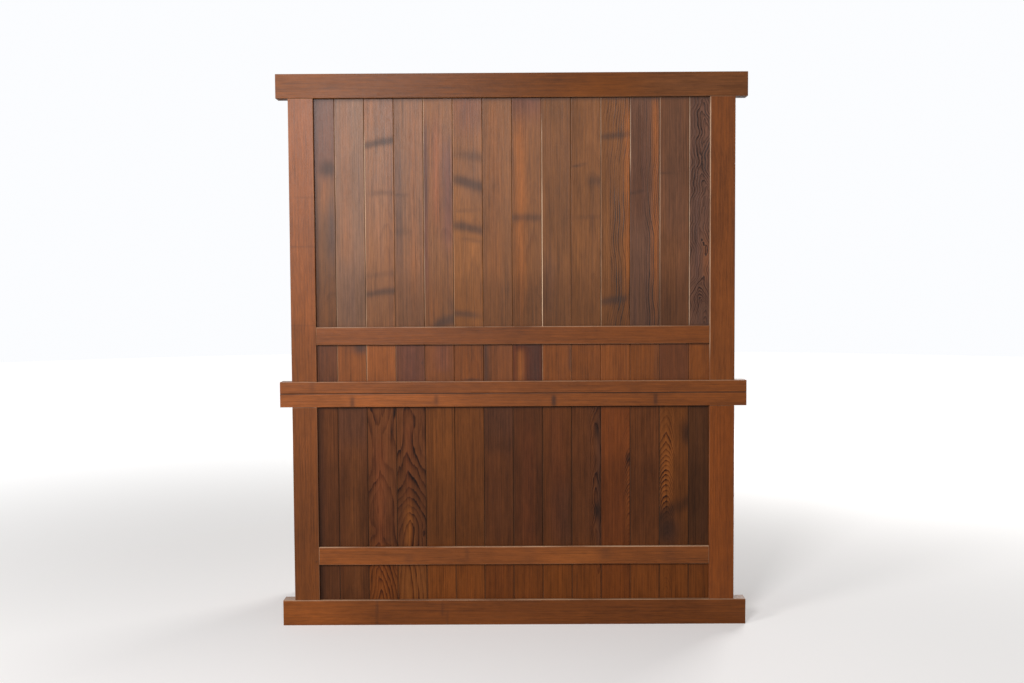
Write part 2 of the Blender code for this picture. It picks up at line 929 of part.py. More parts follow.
def build_handle(prefix, level, drawer):
    """The plate with two eyes, and the bail that swings in them."""
    end_x = (PLATE_LENGTH - PLATE_HEIGHT) / 2
    outline = arc((end_x, 0), PLATE_HEIGHT / 2, -90, 90, PLATE_ARC_STEPS)
    outline += arc((-end_x, 0), PLATE_HEIGHT / 2, 90, 270, PLATE_ARC_STEPS)
    flat = outline_solid(f"{prefix}_handle_plate", outline, PLATE_THICKNESS, iron, drawer)
    flat.rotation_euler.x = math.pi / 2
    flat.location = (0, -PLATE_THICKNESS / 2 - FIT, level)
    plate = as_mesh(flat, iron)
    pivot_y = -PLATE_THICKNESS - FIT - EYE_STAND
    along_x = Matrix.Rotation(math.pi / 2, 4, "Y")
    for side in MIRRORED:
        eye_x = side * EYE_SPACING / 2
        eye = cylinder(
            "eye",
            (EYE_RADIUS, EYE_RADIUS),
            EYE_LENGTH,
            EYE_SIDES,
            along_x,
            (eye_x, pivot_y, level),
            drawer,
        )
        unite(plate, eye)
        neck = block(
            "neck",
            (eye_x - EYE_LENGTH / 2 + EASE, pivot_y, level - EYE_RADIUS + EASE),
            (
                eye_x + EYE_LENGTH / 2 - EASE,
                -PLATE_THICKNESS / 2 - FIT,
                level + EYE_RADIUS - EASE,
            ),
            parent=drawer,
        )
        unite(plate, neck)
        hole = cylinder(
            "hole",
            (BAIL_ROD + EYE_PLAY, BAIL_ROD + EYE_PLAY),
            EYE_LENGTH + 2 * OVERRUN,
            EYE_SIDES,
            along_x,
            (eye_x, pivot_y, level),
            drawer,
        )
        cut(plate, hole)
    build_bail(f"{prefix}_bail", drawer, (0, pivot_y, level))


def bail_points():
    """Half of the bail as (x, z, swell) from the end in an eye to the middle of its grip."""
    arm_x = (EYE_SPACING + EYE_LENGTH) / 2 + BAIL_CLEARANCE + BAIL_ROD
    end_x = (EYE_SPACING - EYE_LENGTH) / 2 - BAIL_END
    shoulder = arc((arm_x - BAIL_SHOULDER, -BAIL_SHOULDER), BAIL_SHOULDER, 90, 0, BAIL_ARC_STEPS)
    corner_centre = (arm_x - BAIL_CORNER, BAIL_CORNER - BAIL_DROP)
    corner = arc(corner_centre, BAIL_CORNER, 0, -90, BAIL_ARC_STEPS)
    grip_x = corner_centre[0]
    points = [(end_x, 0, 1)]
    points += [(x, z, 1) for x, z in shoulder + corner]
    points.append((grip_x / 2, -BAIL_DROP, BAIL_SWELL_SHARE))
    points.append((0, -BAIL_DROP, BAIL_SWELL_SHARE))
    return points


def build_bail(name, drawer, pivot):
    """The bail: a rod with its ends turned in, thicker along the grip, and its origin on its hinge."""
    half = bail_points()
    path = [(-x, z, swell) for x, z, swell in half] + half[-2::-1]
    rod = bpy.data.curves.new(name, "CURVE")
    rod.dimensions = "3D"
    rod.bevel_depth = BAIL_ROD
    rod.bevel_resolution = 2
    rod.use_fill_caps = True
    spline = rod.splines.new("POLY")
    spline.points.add(len(path) - 1)
    for point, (x, z, swell) in zip(spline.points, path):
        point.co = (x, 0, z, 1)
        point.radius = swell
    bail = add_object(name, rod, iron, drawer)
    bail.location = pivot


def build_case(case, boards_pass_mid_rail, top_recess, has_shelf):
    """The fixed pieces of one case."""
    posts = build_posts(case)
    rails = build_through_rails(case, posts)
    front_mid = build_mid_rail(case, "front", MEMBER_DEPTH, posts)
    if boards_pass_mid_rail:
        build_mid_rail(case, "back", BOARD_RECESS - FIT, posts)
        back_mid = None
        build_back_boards(
            f"{case.name}_back_boards",
            case.floor,
            case.head,
            rails["back", "base"],
            rails["back", "top"],
        )
    else:
        back_mid = build_mid_rail(case, "back", MEMBER_DEPTH, posts)
        build_back_boards(
            f"{case.name}_low_back_boards",
            case.floor,
            case.mid_low,
            rails["back", "base"],
            back_mid,
        )
        build_back_boards(
            f"{case.name}_back_boards",
            case.mid_high,
            case.head,
            back_mid,
            rails["back", "top"],
        )
    groove_back_posts(case, posts)
    cleat_levels = [case.mid_high - BOARD_THICKNESS]
    if has_shelf:
        cleat_levels.append(shelf_level(case) - SHELF_THICKNESS)
        build_shelf(case)
    sides = {
        side_name: build_side(case, side_name, side, posts, rails, cleat_levels)
        for side_name, side in SIDES.items()
    }
    build_top_board(case, rails, sides, top_recess)
    build_bottom_board(case, rails)
    build_deck(case, front_mid, back_mid)
    build_divider(case, rails["front", "base"], front_mid)
    cut_tracks(front_mid, rails["front", "top"], case)


for old in list(bpy.data.objects):
    bpy.data.objects.remove(old)

tansu = bpy.data.collections.new("kitchen_tansu")
helpers = bpy.data.collections.new("cutters")
bpy.context.scene.collection.children.link(tansu)
bpy.context.scene.collection.children.link(helpers)

frame_wood = material("frame_wood", (0.26, 0.11, 0.05), 0.45)
board_wood = material("board_wood", (0.15, 0.065, 0.033), 0.5)
door_wood = material("door_wood", (0.22, 0.09, 0.04), 0.45)
drawer_wood = material("drawer_wood", (0.24, 0.10, 0.045), 0.45)
inner_wood = material("inner_wood", (0.42, 0.27, 0.15), 0.6)
iron = material("iron", (0.03, 0.028, 0.027), 0.55, 0.8)

lower = Case(
    "lower",
    0,
    LOWER_BASE_RAIL,
    LOWER_DRAWER_OPENING,
    LOWER_MID_RAIL,
    LOWER_DOOR_OPENING,
    LOWER_TOP_RAIL,
)
upper = Case(
    "upper",
    lower.top + FIT,
    UPPER_BASE_RAIL,
    UPPER_DRAWER_OPENING,
    UPPER_MID_RAIL,
    UPPER_DOOR_OPENING,
    UPPER_TOP_RAIL,
)

build_case(lower, boards_pass_mid_rail=True, top_recess=0, has_shelf=False)
build_case(upper, boards_pass_mid_rail=False, top_recess=UPPER_TOP_RECESS, has_shelf=True)

field_width = door_width - 2 * DOOR_STILE
lattice = (
    round(field_width / (LATTICE_BAR + LATTICE_SPACE)),
    LATTICE_BAR,
    LATTICE_ROWS,
    LATTICE_CROSSBAR,
)
battens = (BATTEN_COLUMNS, BATTEN_MUNTIN, BATTEN_ROWS, BATTEN_HEIGHT)
for side_name, side in SIDES.items():
    track = 0 if side_name == "right" else 1
    build_door(upper, side_name, side, track, "lattice", lattice)
    build_door(lower, side_name, side, track, "frame", battens)
    for case in (upper, lower):
        build_drawer(case, side_name, side)
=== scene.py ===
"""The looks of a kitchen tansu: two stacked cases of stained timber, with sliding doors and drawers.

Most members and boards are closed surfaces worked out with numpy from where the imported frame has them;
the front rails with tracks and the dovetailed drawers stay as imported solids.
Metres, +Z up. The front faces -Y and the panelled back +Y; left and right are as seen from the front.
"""

import math
from dataclasses import dataclass, field, replace

import bpy
import numpy as np
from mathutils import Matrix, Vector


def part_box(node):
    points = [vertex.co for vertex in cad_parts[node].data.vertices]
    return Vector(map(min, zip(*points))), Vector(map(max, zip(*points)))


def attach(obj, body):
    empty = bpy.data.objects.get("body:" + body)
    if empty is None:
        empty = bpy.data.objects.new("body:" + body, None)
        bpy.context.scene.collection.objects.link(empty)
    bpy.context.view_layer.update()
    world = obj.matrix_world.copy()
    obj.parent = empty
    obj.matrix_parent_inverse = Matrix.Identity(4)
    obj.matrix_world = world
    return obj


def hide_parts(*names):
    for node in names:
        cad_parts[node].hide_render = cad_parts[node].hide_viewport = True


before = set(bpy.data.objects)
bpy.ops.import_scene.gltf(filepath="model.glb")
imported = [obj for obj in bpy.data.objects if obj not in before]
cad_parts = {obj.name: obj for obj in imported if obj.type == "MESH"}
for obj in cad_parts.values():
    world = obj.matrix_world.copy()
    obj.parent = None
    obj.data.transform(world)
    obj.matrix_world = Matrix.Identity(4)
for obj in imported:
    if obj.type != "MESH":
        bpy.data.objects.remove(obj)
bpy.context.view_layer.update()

# Timber: the rounding of its edges, the cells of its meshes, and how boards meet
FRAME_EASE = 0.0016
BOARD_EASE = 0.0016
TOP_EASE = 0.0010
INNER_EASE = 0.0008
DECK_EASE = 0.0007
SKIN = 0.0008
ARC_STEPS = 3
FRAME_CELL = 0.030
MARKED_CELL = 0.006
BOARD_CELL = 0.008
TOP_CELL = 0.012
FIT = 0.0003
BOARD_GAP = 0.0007
BOARD_PITCH = 0.0943
BOARD_THICKNESS = 0.012
BOARD_RECESS = 0.013
BOARD_TONGUE = 0.008
BOARD_END = 0.006
BACK_BOW = 0.0005
SIDE_BOW = 0.0004
# The painted shadow in the joint between the two cases: its half width across a rail's face, and how far it
# reaches over the edge
JOINT_SHADOW_WIDTH = 0.07
JOINT_SHADOW_REACH = 0.006
TIP_ROUNDING = 0.002
TOP_BOARDS = 4
BOTTOM_BOARDS = 3

# How far along a piece each drift takes for one wave
HEART_DRIFT = 0.8
TONE_DRIFT = 0.45
STREAK_DRIFT = 0.3
BAND_DRIFT = 0.12
BOW_DRIFT = 1.1

# The sides and insides
SIDE_BOARD_X = 0.686
SIDE_RAIL_X = 0.681
CLEAT_THICKNESS = 0.015
CLEAT_HEIGHT = 0.0203
CLEAT_END = 0.004
CLEAT_BELOW_MIDDLE = 0.018
DECK_SEAMS = (-0.05, 0.07)
SHELF_SEAMS = (-0.035, 0.075)
INNER_SEAM = 0.0002
KICKER_HALF = 0.03

# The doors
DOOR_STILE = 0.050
DOOR_TOP_RAIL = 0.050
DOOR_BOTTOM_RAIL = 0.062
DOOR_FOOT_GAP = 0.0008
DOOR_HEAD_GAP = 0.004
JOINERY_EASE = 0.0012
TONGUE_HALF = 0.0035
TONGUE_EASE = 0.0004
FIELD_LIP = 0.003
BAR_EASE = 0.0010
BAR_CELL = 0.10
BAR_SETBACK = 0.002
BAR_END = 0.004
CROSSBAR_SETBACK = 0.004
CROSSBAR_BACK = 0.0017
LATTICE = (15, 0.012, 4, 0.012)
BATTENS = (2, 0.040, 6, 0.016)
PANEL_THICKNESS = 0.0065
PANEL_BOARDS = 6
PANEL_GAP = 0.0003
PANEL_EASE = 0.0009
PANEL_CELL = 0.010

# The iron: pairs are a ring's depth behind the face and how far it spreads past the outline
PULL_WIDTH = 0.026
PULL_HEIGHT = 0.068
PULL_DEPTH = 0.009
PULL_STEPS = 40
CUTTER_FRONT = -0.01
CUP = (
    (-0.0006, 0.0006), (-0.0010, -0.0006), (-0.0006, -0.0020), (0.0040, -0.0028), (0.0072, -0.0046),
    (0.0080, -0.0085), (0.0088, -0.0085), (0.0088, -0.0030), (0.0060, -0.0006), (0.0, -0.0004),
)
CUP_FLOOR = 5
PLATE_THICKNESS = 0.0018
PLATE_RIM = ((0.0, 0.0), (-0.0010, 0.0), (-0.0015, 0.0005), (-0.0018, 0.0016), (-0.0018, 0.0060))
PLATE_STEPS = 16
NAIL_PLACES = (-0.056, -0.018, 0.018, 0.056)
NAIL_RADIUS = 0.0028
NAIL_HEIGHT = 0.0013
NAIL_SINK = 0.0003
EYE_SPACING = 0.076
EYE_LENGTH = 0.008
EYE_RADIUS = 0.0055
EYE_BAR = 0.0019
EYE_CORE = 0.0045
EYE_BEND = 0.80
EYE_LEG = 0.0021
EYE_LEG_REACH = 0.0025
EYE_SINK = 0.0004
EYE_EASE = 0.0006
EYE_CELL = 0.004
BAIL_ROD = 0.0030
BAIL_SWELL = 0.4
BAIL_END = 0.0325
BAIL_ENTRY = 0.004
BAIL_SHOULDER = 0.005
BAIL_CORNER = 0.013
BAIL_SIDES = 14
BAIL_GRIP_SHARE = 0.8

# The camera, by its place behind the back face, in metres and degrees
FRAME_WIDTH_PIXELS = 1024
SENSOR_WIDTH = 36.0
FOCAL_PIXELS = 1200
CAMERA_X = -0.015
CAMERA_BACK = 3.842
CAMERA_HEIGHT = 1.128
CAMERA_PITCH = 3.09
CAMERA_YAW = -0.26
CAMERA_ROLL = -0.31
FILL = 0.16
FLOOR_RADIUS = 14.0

FINISH = "_finish"
SIDES = {"left": -1, "right": 1}
ENDS = ("front", "back")


def linear(red, green, blue):
    """A colour given in display values from 0 to 255, as the light it stands for."""
    display = np.array([red, green, blue]) / 255
    return np.where(display <= 0.04045, display / 12.92, ((display + 0.055) / 1.055) ** 2.4)


BROWN = linear(115, 66, 30)
AMBER = linear(134, 76, 30)
RUST = linear(120, 63, 33)
PLUM = linear(98, 56, 44)
UMBER = linear(94, 53, 27)
SMOKE_AND_SHADE = linear(52, 36, 30)
HONEY = linear(129, 71, 29)
SOFTWOOD = linear(176, 137, 90)
COOLED = (0.80, 0.85, 1.15, 1.0)
LATE_WOOD = (0.80, 0.58, 0.45, 1.0)
WEAR_AND_HIGHLIGHT = (0.62, 0.42, 0.27, 1.0)
IRON_BLACK = (0.030, 0.028, 0.027, 1.0)
IRON_BROWN = (0.075, 0.046, 0.032, 1.0)
FLOOR_PAINT = (0.74, 0.73, 0.72, 1.0)
WOOD_RELIEF = 0.00035
IRON_RELIEF = 0.0006


# Smooth drifts and where things lie


def drift(place, reach, seed):
    """A smooth drift from about -1 to 1: three sines, each half as long and strong as the last."""
    phases = np.random.default_rng(seed).uniform(0, 2 * np.pi, 3)
    waves = 2 * np.pi / reach * np.array([1.0, 2.13, 4.37])
    strengths = np.array([0.58, 0.28, 0.14])
    return (np.sin(np.asarray(place)[..., None] * waves + phases) * strengths).sum(-1)


def hill(place, middle, half):
    """A soft hill that is 1 at its middle and about a third at half its width."""
    return np.exp(-(((place - middle) / half) ** 2))


def mesa(place, middle, half):
    """A hill with a flat top and steep sides: the fourth power of the distance takes the square's place."""
    return np.exp(-(((place - middle) / half) ** 4))


def between(place, low, high, soft):
    """1 between two places and 0 outside, with soft ends."""
    return 1 / (1 + np.exp(-(place - low) / soft)) / (1 + np.exp((place - high) / soft))


class Case:
    """The levels and places of one case, read from its packed rails and posts."""

    def __init__(self, name):
        self.name = name
        base, mid, top = (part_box(f"{name}_front_{level}_rail") for level in ("base", "mid", "top"))
        front_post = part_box(f"{name}_post_front_right")
        back_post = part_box(f"{name}_post_back_right")
        self.body = f"{name}_case"
        self.base, self.floor = base[0].z, base[1].z
        self.mid_low, self.mid_high = mid[0].z, mid[1].z
        self.head, self.top = top[0].z, top[1].z
        self.end_x = top[1].x
        self.inner_x, self.outer_x = front_post[0].x, front_post[1].x
        self.front_y, self.front_inner_y = front_post[0].y, front_post[1].y
        self.back_inner_y, self.back_y = back_post[0].y, back_post[1].y
        self.board_y = self.back_y - BOARD_RECESS - BOARD_THICKNESS


# How a piece of timber was cut from its log, and how it looks


@dataclass
class Cut:
    """Where the log's heart lies from a piece, and its year rings.

    The heart runs along the piece at side and depth from its middle. It leans by lean and the rings widen by
    taper for each metre up, and it wavers over reach. ring is the width of a year, and strength how dark its
    late wood is. swells: (across, along, half width, half height, rise). where: the middle and half width
    across, and the middle and reach along, of the place with the strongest rings. rest is the strength that
    is left away from the swells, and point above 0 makes the arches pointed.
    """

    side: float = 0.0
    depth: float = 0.12
    ring: float = 0.0035
    lean: float = 0.0
    taper: float = 0.01
    waver: float = 0.004
    strength: float = 0.35
    swells: tuple = ()
    where: tuple = (0.0, 9.0, 0.5, 9.0)
    rest: float = 0.25
    point: float = 0.0
    reach: float = 0.55


@dataclass
class Look:
    """A piece's tone and marks. Places along it run from 0 at its foot to 1, and across it from -1 to 1.

    streaks: (across, half width, tone, strength, from, to). bands: (along, half height in metres, slant,
    strength, across, half width). knots: (across, along, radius in metres). edges is how pale its edges are,
    which paints both their wear and highlights where they catch the light, and pale lists painted highlights
    along edges that face the light: (across, strength, from, to).
    """

    tone: tuple
    cut: Cut = field(default_factory=Cut)
    streaks: tuple = ()
    bands: tuple = ()
    knots: tuple = ()
    edges: float = 0.5
    pale: tuple = ()


def growth(local, half, look, seed):
    """Each point's place from the heart of its log, in year rings, which bulge at swells and knots."""
    x, y, z = local.T
    cut = look.cut
    away_x = x - cut.side - cut.lean * z - cut.waver * drift(z, cut.reach, seed)
    away_y = y + cut.depth + cut.taper * z + cut.waver * drift(z, HEART_DRIFT, seed + 1)
    for across, along, half_width, half_height, rise in cut.swells:
        bulge = hill(x, across * half[0], half_width) * hill(z, (2 * along - 1) * half[2], half_height)
        away_y = away_y + rise * bulge
    for across, along, radius in look.knots:
        knot_x = across * half[0]
        knot_z = (2 * along - 1) * half[2]
        bulge = hill(x, knot_x, 2.2 * radius) * hill(z, knot_z, 4.5 * radius)
        away_y = away_y + 1.6 * radius * bulge
        away_x = away_x + (x - knot_x) * 0.8 * bulge
    if cut.point:
        away_x = np.sqrt(cut.point * (np.hypot(away_x, TIP_ROUNDING) - TIP_ROUNDING))
    return np.stack([away_x, away_y, 0 * z], -1) / cut.ring


def broad(half):
    """The axis across a member's broad face: its depth for a thin board, and its height for a rail."""
    return 1 if half[1] > 0.7 * half[0] else 0


def stain(local, half, look, seed):
    """Each point's colour: the piece's tone, drifting a little along it, with its coloured streaks, among
    them painted shadows and painted light.
    """
    x, z = local[:, broad(half)], local[:, 2]
    across = x / half[broad(half)]
    along = (z / half[2] + 1) / 2
    tone = np.ones((len(local), 1)) * look.tone
    tone = tone * (1 + 0.06 * drift(z + 0.2 * x, TONE_DRIFT, seed + 2))[:, None]
    for middle, width, colour, strength, low, high in look.streaks:
        waver = 0.12 * min(1.0, 2 * width * width) * drift(z, STREAK_DRIFT, seed + 3)
        amount = strength * hill(across + waver, middle, width) * between(along, low, high, 0.03)
        # A painted joint shadow keeps to the rail's broad face and fades within a few millimetres over its
        # edge.
        if broad(half) and abs(middle) == 1 and width == JOINT_SHADOW_WIDTH:
            amount = amount * hill(half[0] - np.abs(local[:, 0]), 0.0, JOINT_SHADOW_REACH)
        tone = tone + (colour - tone) * amount[:, None]
    return tone


def marks(local, half, look, seed):
    """Each point's smoky marks and painted shade from bands and knots, its edges' wear and painted
    highlights, and its rings' strength.
    """
    x, z = local[:, broad(half)], local[:, 2]
    across = x / half[broad(half)]
    smoke_and_shade = np.zeros(len(local))
    for along, height, slant, strength, middle, width in look.bands:
        place = (2 * along - 1) * half[2] + slant * x + 0.15 * height * drift(x, BAND_DRIFT, seed + 4)
        smoke_and_shade = np.maximum(smoke_and_shade, strength * hill(z, place, 1.1 * height) * mesa(across, middle, width))
    for middle, along, radius in look.knots:
        away_x = (x - middle * half[broad(half)]) / radius
        away_z = (z - (2 * along - 1) * half[2]) / radius
        smoke_and_shade = np.maximum(smoke_and_shade, 1.3 * np.exp(-(away_x**2 + away_z**2)))
    second = np.sort(half - np.abs(local), axis=1)[:, 1]
    edge = np.clip(1 - second / FRAME_EASE, 0, 1) * look.edges
    for middle, amount, low, high in look.pale:
        line = np.abs(across - middle) * half[broad(half)] < 1.3 * FRAME_EASE
        edge = np.maximum(edge, amount * line * between((z / half[2] + 1) / 2, low, high, 0.02))
    cut = look.cut
    middle, width, level, reach = cut.where
    share = 0.15 + 0.85 * mesa(across, middle, width) * mesa((z / half[2] + 1) / 2, level, reach)
    if cut.swells:
        eyes = [
            hill(x, middle * half[0], 1.5 * wide) * hill(z, (2 * along - 1) * half[2], 1.3 * high)
            for middle, along, wide, high, _ in cut.swells
        ]
        share = share * (cut.rest + (1 - cut.rest) * np.max(eyes, axis=0))
    return np.stack([smoke_and_shade, edge, cut.strength * share], -1)


# Surfaces of squared timber

ALONG = {"x": (1, 2, 0), "y": (2, 0, 1), "z": (0, 1, 2)}


def spread(length, cell):
    """Places within a length: one close to each end, and others at most a cell apart."""
    if length < 4 * SKIN:
        return np.array([length / 2])
    return np.linspace(SKIN, length - SKIN, max(2, math.ceil((length - 2 * SKIN) / cell) + 1))


def section(half_x, half_y, radius, cell):
    """Points and outward directions round a rectangle with quarter-circle corners, anticlockwise."""
    points = []
    outward = []
    for turn, (sign_x, sign_y) in enumerate(((1, 1), (-1, 1), (-1, -1), (1, -1))):
        angles = (turn + np.linspace(0, 1, ARC_STEPS + 1)) * np.pi / 2
        normal = np.stack([np.cos(angles), np.sin(angles)], -1)
        centre = np.array([sign_x * (half_x - radius), sign_y * (half_y - radius)])
        flat = spread(2 * ((half_y if turn % 2 else half_x) - radius), cell)
        onward = np.array([-normal[-1, 1], normal[-1, 0]])
        points += [centre + radius * normal, centre + radius * normal[-1] + flat[:, None] * onward]
        outward += [normal, np.repeat(normal[-1:], len(flat), 0)]
    return np.concatenate(points), np.concatenate(outward)


def lengthwise(half_z, reach, cell):
    """Rows from foot to head: their heights, their outward reach and how far they are drawn in."""
    turns = np.linspace(0, np.pi / 2, ARC_STEPS + 1)
    shoulder = half_z - reach
    flat = spread(2 * shoulder, cell) - shoulder
    rise = reach * np.sin(turns)
    out = reach * np.cos(turns)
    height = np.concatenate(
        [[-half_z] * 2, -shoulder - rise[::-1], flat, shoulder + rise, [half_z] * 2]
    )
    reaches = np.concatenate([[0, 0], out[::-1], np.full(len(flat), reach), out, [0, 0]])
    drawn = np.concatenate([[0.5, 0.0], np.ones(len(height) - 4), [0.0, 0.5]])
    return height, reaches, drawn


def squared(half, ease, cell):
    """A squared member about the origin, with its grain along Z, as points and faces.

    At a height its section is core * shrink + reach * outward. The core is a rectangle with rounded corners.
    Near an end the reach falls off as the cosine of a quarter turn, so the ends' edges are rounded as the
    long edges are. Shrink is 1 but on the end faces, whose rings draw in to a point.
    """
    reach = 0.65 * ease
    core, outward = section(half[0] - reach, half[1] - reach, ease - reach, cell)
    height, reaches, drawn = lengthwise(half[2], reach, cell)
    inset = 1 - SKIN / np.array([half[0] - reach, half[1] - reach])
    shrink = np.where(drawn[:, None] == 0.0, inset, drawn[:, None])
    flat = core[None] * shrink[:, None] + reaches[:, None, None] * outward[None]
    rows, columns = flat.shape[:2]
    level = np.broadcast_to(height[:, None, None], (rows, columns, 1))
    points = np.concatenate([flat, level], -1).reshape(-1, 3)
    points = np.concatenate([points, [[0, 0, -half[2]], [0, 0, half[2]]]])
    row, column = np.meshgrid(np.arange(rows - 1), np.arange(columns), indexing="ij")
    after = (column + 1) % columns
    low = row * columns
    quads = np.stack([low + column, low + after, low + columns + after, low + columns + column], -1)
    around = np.arange(columns)
    onward = (around + 1) % columns
    last = (rows - 1) * columns
    foot = np.stack([np.full(columns, rows * columns), onward, around], -1)
    head = np.stack([np.full(columns, rows * columns + 1), last + around, last + onward], -1)
    return points, quads.reshape(-1, 4), np.concatenate([foot, head])


def read_fields(local, half, look, seed):
    """What the material reads: the place in the wood, the heart, the colour and the marks."""
    shift = np.random.default_rng(seed).uniform(-3, 3, 3)
    return {
        "grain": local + shift,
        "heart": growth(local, half, look, seed),
        "stain": stain(local, half, look, seed),
        "marks": marks(local, half, look, seed),
    }


def write_fields(mesh, fields):
    """Keeps these vectors at the points of a mesh."""
    for kind, values in fields.items():
        store = mesh.attributes.get(kind) or mesh.attributes.new(kind, "FLOAT_VECTOR", "POINT")
        store.data.foreach_set("vector", values.astype(np.float32).ravel())


class Timber:
    """Members and boards gathered into one piece, with what its material reads at each point."""

    def __init__(self):
        self.points = []
        self.quads = []
        self.corners = []
        self.fields = {"grain": [], "heart": [], "stain": [], "marks": []}
        self.count = 0

    def add(self, low, high, along, look, seed, ease=FRAME_EASE, cell=FRAME_CELL, bow=0.0):
        """Adds a squared member between two corners, with its grain along a world axis."""
        low, high = np.minimum(low, high), np.maximum(low, high)
        order = list(ALONG[along])
        seed = abs(int(seed))
        half = ((high - low) / 2)[order]
        local, quads, corners = squared(half, min(ease, 0.45 * min(half[0], half[1])), cell)
        bowed = local.copy()
        thin = 1 if half[1] < half[0] else 0
        wide = 1 - thin
        wave = drift(local[:, 2], BOW_DRIFT, seed + 5)
        bowed[:, thin] += bow * (wave + (local[:, wide] / half[wide]) ** 2 - 0.5)
        world = np.empty_like(bowed)
        world[:, order] = bowed
        self.points.append(world + (low + high) / 2)
        self.quads.append(quads + self.count)
        self.corners.append(corners + self.count)
        self.count += len(local)
        self.member = order, (low + high) / 2, half, look, seed
        for kind, values in read_fields(local, half, look, seed).items():
            self.fields[kind].append(values)
        return self

    def piece(self, name, finish, body, *nodes):
        """Puts the points and faces into a mesh that rides on a body and stands for CAD nodes."""
        faces = np.concatenate(self.quads).tolist() + np.concatenate(self.corners).tolist()
        made = new_piece(name, np.concatenate(self.points), faces, finish, body, *nodes)
        write_fields(made.data, {kind: np.concatenate(values) for kind, values in self.fields.items()})
        return made

    def store(self, mesh):
        """Reads the fields again for a carved mesh of one member, from where its points now are."""
        order, middle, half, look, seed = self.member
        places = np.empty(3 * len(mesh.vertices), np.float32)
        mesh.vertices.foreach_get("co", places)
        local = (places.reshape(-1, 3).astype(float) - middle)[:, order]
        write_fields(mesh, read_fields(local, half, look, seed))


def new_piece(name, points, faces, finish, body, *nodes):
    """A smooth mesh in a collection of its own, riding on a body, in place of these CAD nodes."""
    mesh = bpy.data.meshes.new(name)
    mesh.from_pydata(points.tolist(), [], faces)
    mesh.polygons.foreach_set("use_smooth", np.ones(len(mesh.polygons), bool))
    mesh.materials.append(finish)
    mesh.update()
    made = bpy.data.objects.new(name, mesh)
    looks.objects.link(made)
    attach(made, body)
    if nodes:
        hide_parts(*nodes)
    return made


# Shader maths


class Value:
    """A number or colour that changes over a surface. Python's operators on it add Math nodes."""

    def __init__(self, paint, socket):
        self.paint = paint
        self.socket = socket

    def maths(self, operation, *others):
        """One Math node on this value and the others."""
        return self.paint.node("ShaderNodeMath", {"operation": operation}, [self, *others])

    def at_least(self, lowest):
        """This value, held above a lowest one."""
        return self.maths("MAXIMUM", lowest)

    def __add__(self, other):
        return self.maths("ADD", other)

    def __radd__(self, other):
        return self.maths("ADD", other)

    def __mul__(self, other):
        return self.maths("MULTIPLY", other)

    def __rmul__(self, other):
        return self.maths("MULTIPLY", other)

    def __sub__(self, other):
        return self.maths("SUBTRACT", other)

    def __rsub__(self, other):
        return self.paint.node("ShaderNodeMath", {"operation": "SUBTRACT"}, [other, self])

    def __truediv__(self, other):
        return self.maths("DIVIDE", other)

    def __pow__(self, other):
        return self.maths("POWER", other)

    def step(self, low, high):
        """0 below low, 1 above high and smooth between."""
        settings = {"interpolation_type": "SMOOTHSTEP"}
        return self.paint.node("ShaderNodeMapRange", settings, [self, low, high, 0.0, 1.0])


class Paint:
    """A material and the nodes that feed its Principled shader."""

    def __init__(self, name, roughness, metallic=0.0, specular=0.2):
        self.material = bpy.data.materials.new(name + FINISH)
        self.material.use_nodes = True
        self.tree = self.material.node_tree
        self.shader = self.tree.nodes["Principled BSDF"]
        self.shader.inputs["Roughness"].default_value = roughness
        self.shader.inputs["Metallic"].default_value = metallic
        self.shader.inputs["Specular IOR Level"].default_value = specular

    def node(self, kind, settings, inputs, output=0):
        """Adds a node, sets its settings, then its inputs by order or by name, and returns an output."""
        made = self.tree.nodes.new(kind)
        for setting, value in settings.items():
            setattr(made, setting, value)
        named = inputs.items() if isinstance(inputs, dict) else enumerate(inputs)
        for place, value in named:
            self.feed(made.inputs[place], value)
        return Value(self, made.outputs[output])

    def feed(self, socket, value):
        """Links a value to a socket, or sets the socket to a plain number or tuple."""
        if isinstance(value, Value):
            self.tree.links.new(value.socket, socket)
        elif socket.type == "RGBA" and len(value) == 3:
            socket.default_value = (*value, 1.0)
        else:
            socket.default_value = value

    def attribute(self, name):
        """A vector kept at each point of the piece."""
        return self.node("ShaderNodeAttribute", {"attribute_name": name}, {}, "Vector")

    def parts(self, vector):
        """The three numbers of a vector."""
        split = self.node("ShaderNodeSeparateXYZ", {}, [vector])
        return [Value(self, output) for output in split.socket.node.outputs]

    def scaled(self, vector, scale):
        """A vector times three numbers."""
        return self.node("ShaderNodeVectorMath", {"operation": "MULTIPLY"}, [vector, scale])

    def noise(self, vector, scale, detail=2.0, roughness=0.5):
        """Noise from 0 to 1 with a scale for each direction of a vector."""
        place = self.scaled(vector, scale)
        inputs = {"Vector": place, "Scale": 1.0, "Detail": detail, "Roughness": roughness}
        return self.node("ShaderNodeTexNoise", {}, inputs)

    def mix(self, share, first, second, blend="MIX"):
        """Two colours mixed by a share, or blended."""
        settings = {"data_type": "RGBA", "blend_type": blend}
        return self.node("ShaderNodeMix", settings, {0: share, 6: first, 7: second}, 2)

    def times(self, colour, amount):
        """A colour made lighter or darker by an amount."""
        return self.node("ShaderNodeVectorMath", {"operation": "SCALE"}, {0: colour, 3: amount})

    def finish(self, colour, roughness=None, height=None, relief=0.0):
        """Feeds the shader its colour, its roughness and the relief of its surface."""
        self.feed(self.shader.inputs["Base Color"], colour)
        if roughness is not None:
            self.feed(self.shader.inputs["Roughness"], roughness)
        if height is not None:
            inputs = {"Strength": 1.0, "Distance": relief, "Height": height}
            self.feed(self.shader.inputs["Normal"], self.node("ShaderNodeBump", {}, inputs))
        return self.material


def by_point(paint):
    """What the timber paint reads, kept at the points of a piece."""
    smoke_and_shade, edge, strength = paint.parts(paint.attribute("marks"))
    return paint.attribute("grain"), paint.attribute("heart"), paint.attribute("stain"), smoke_and_shade, edge, strength


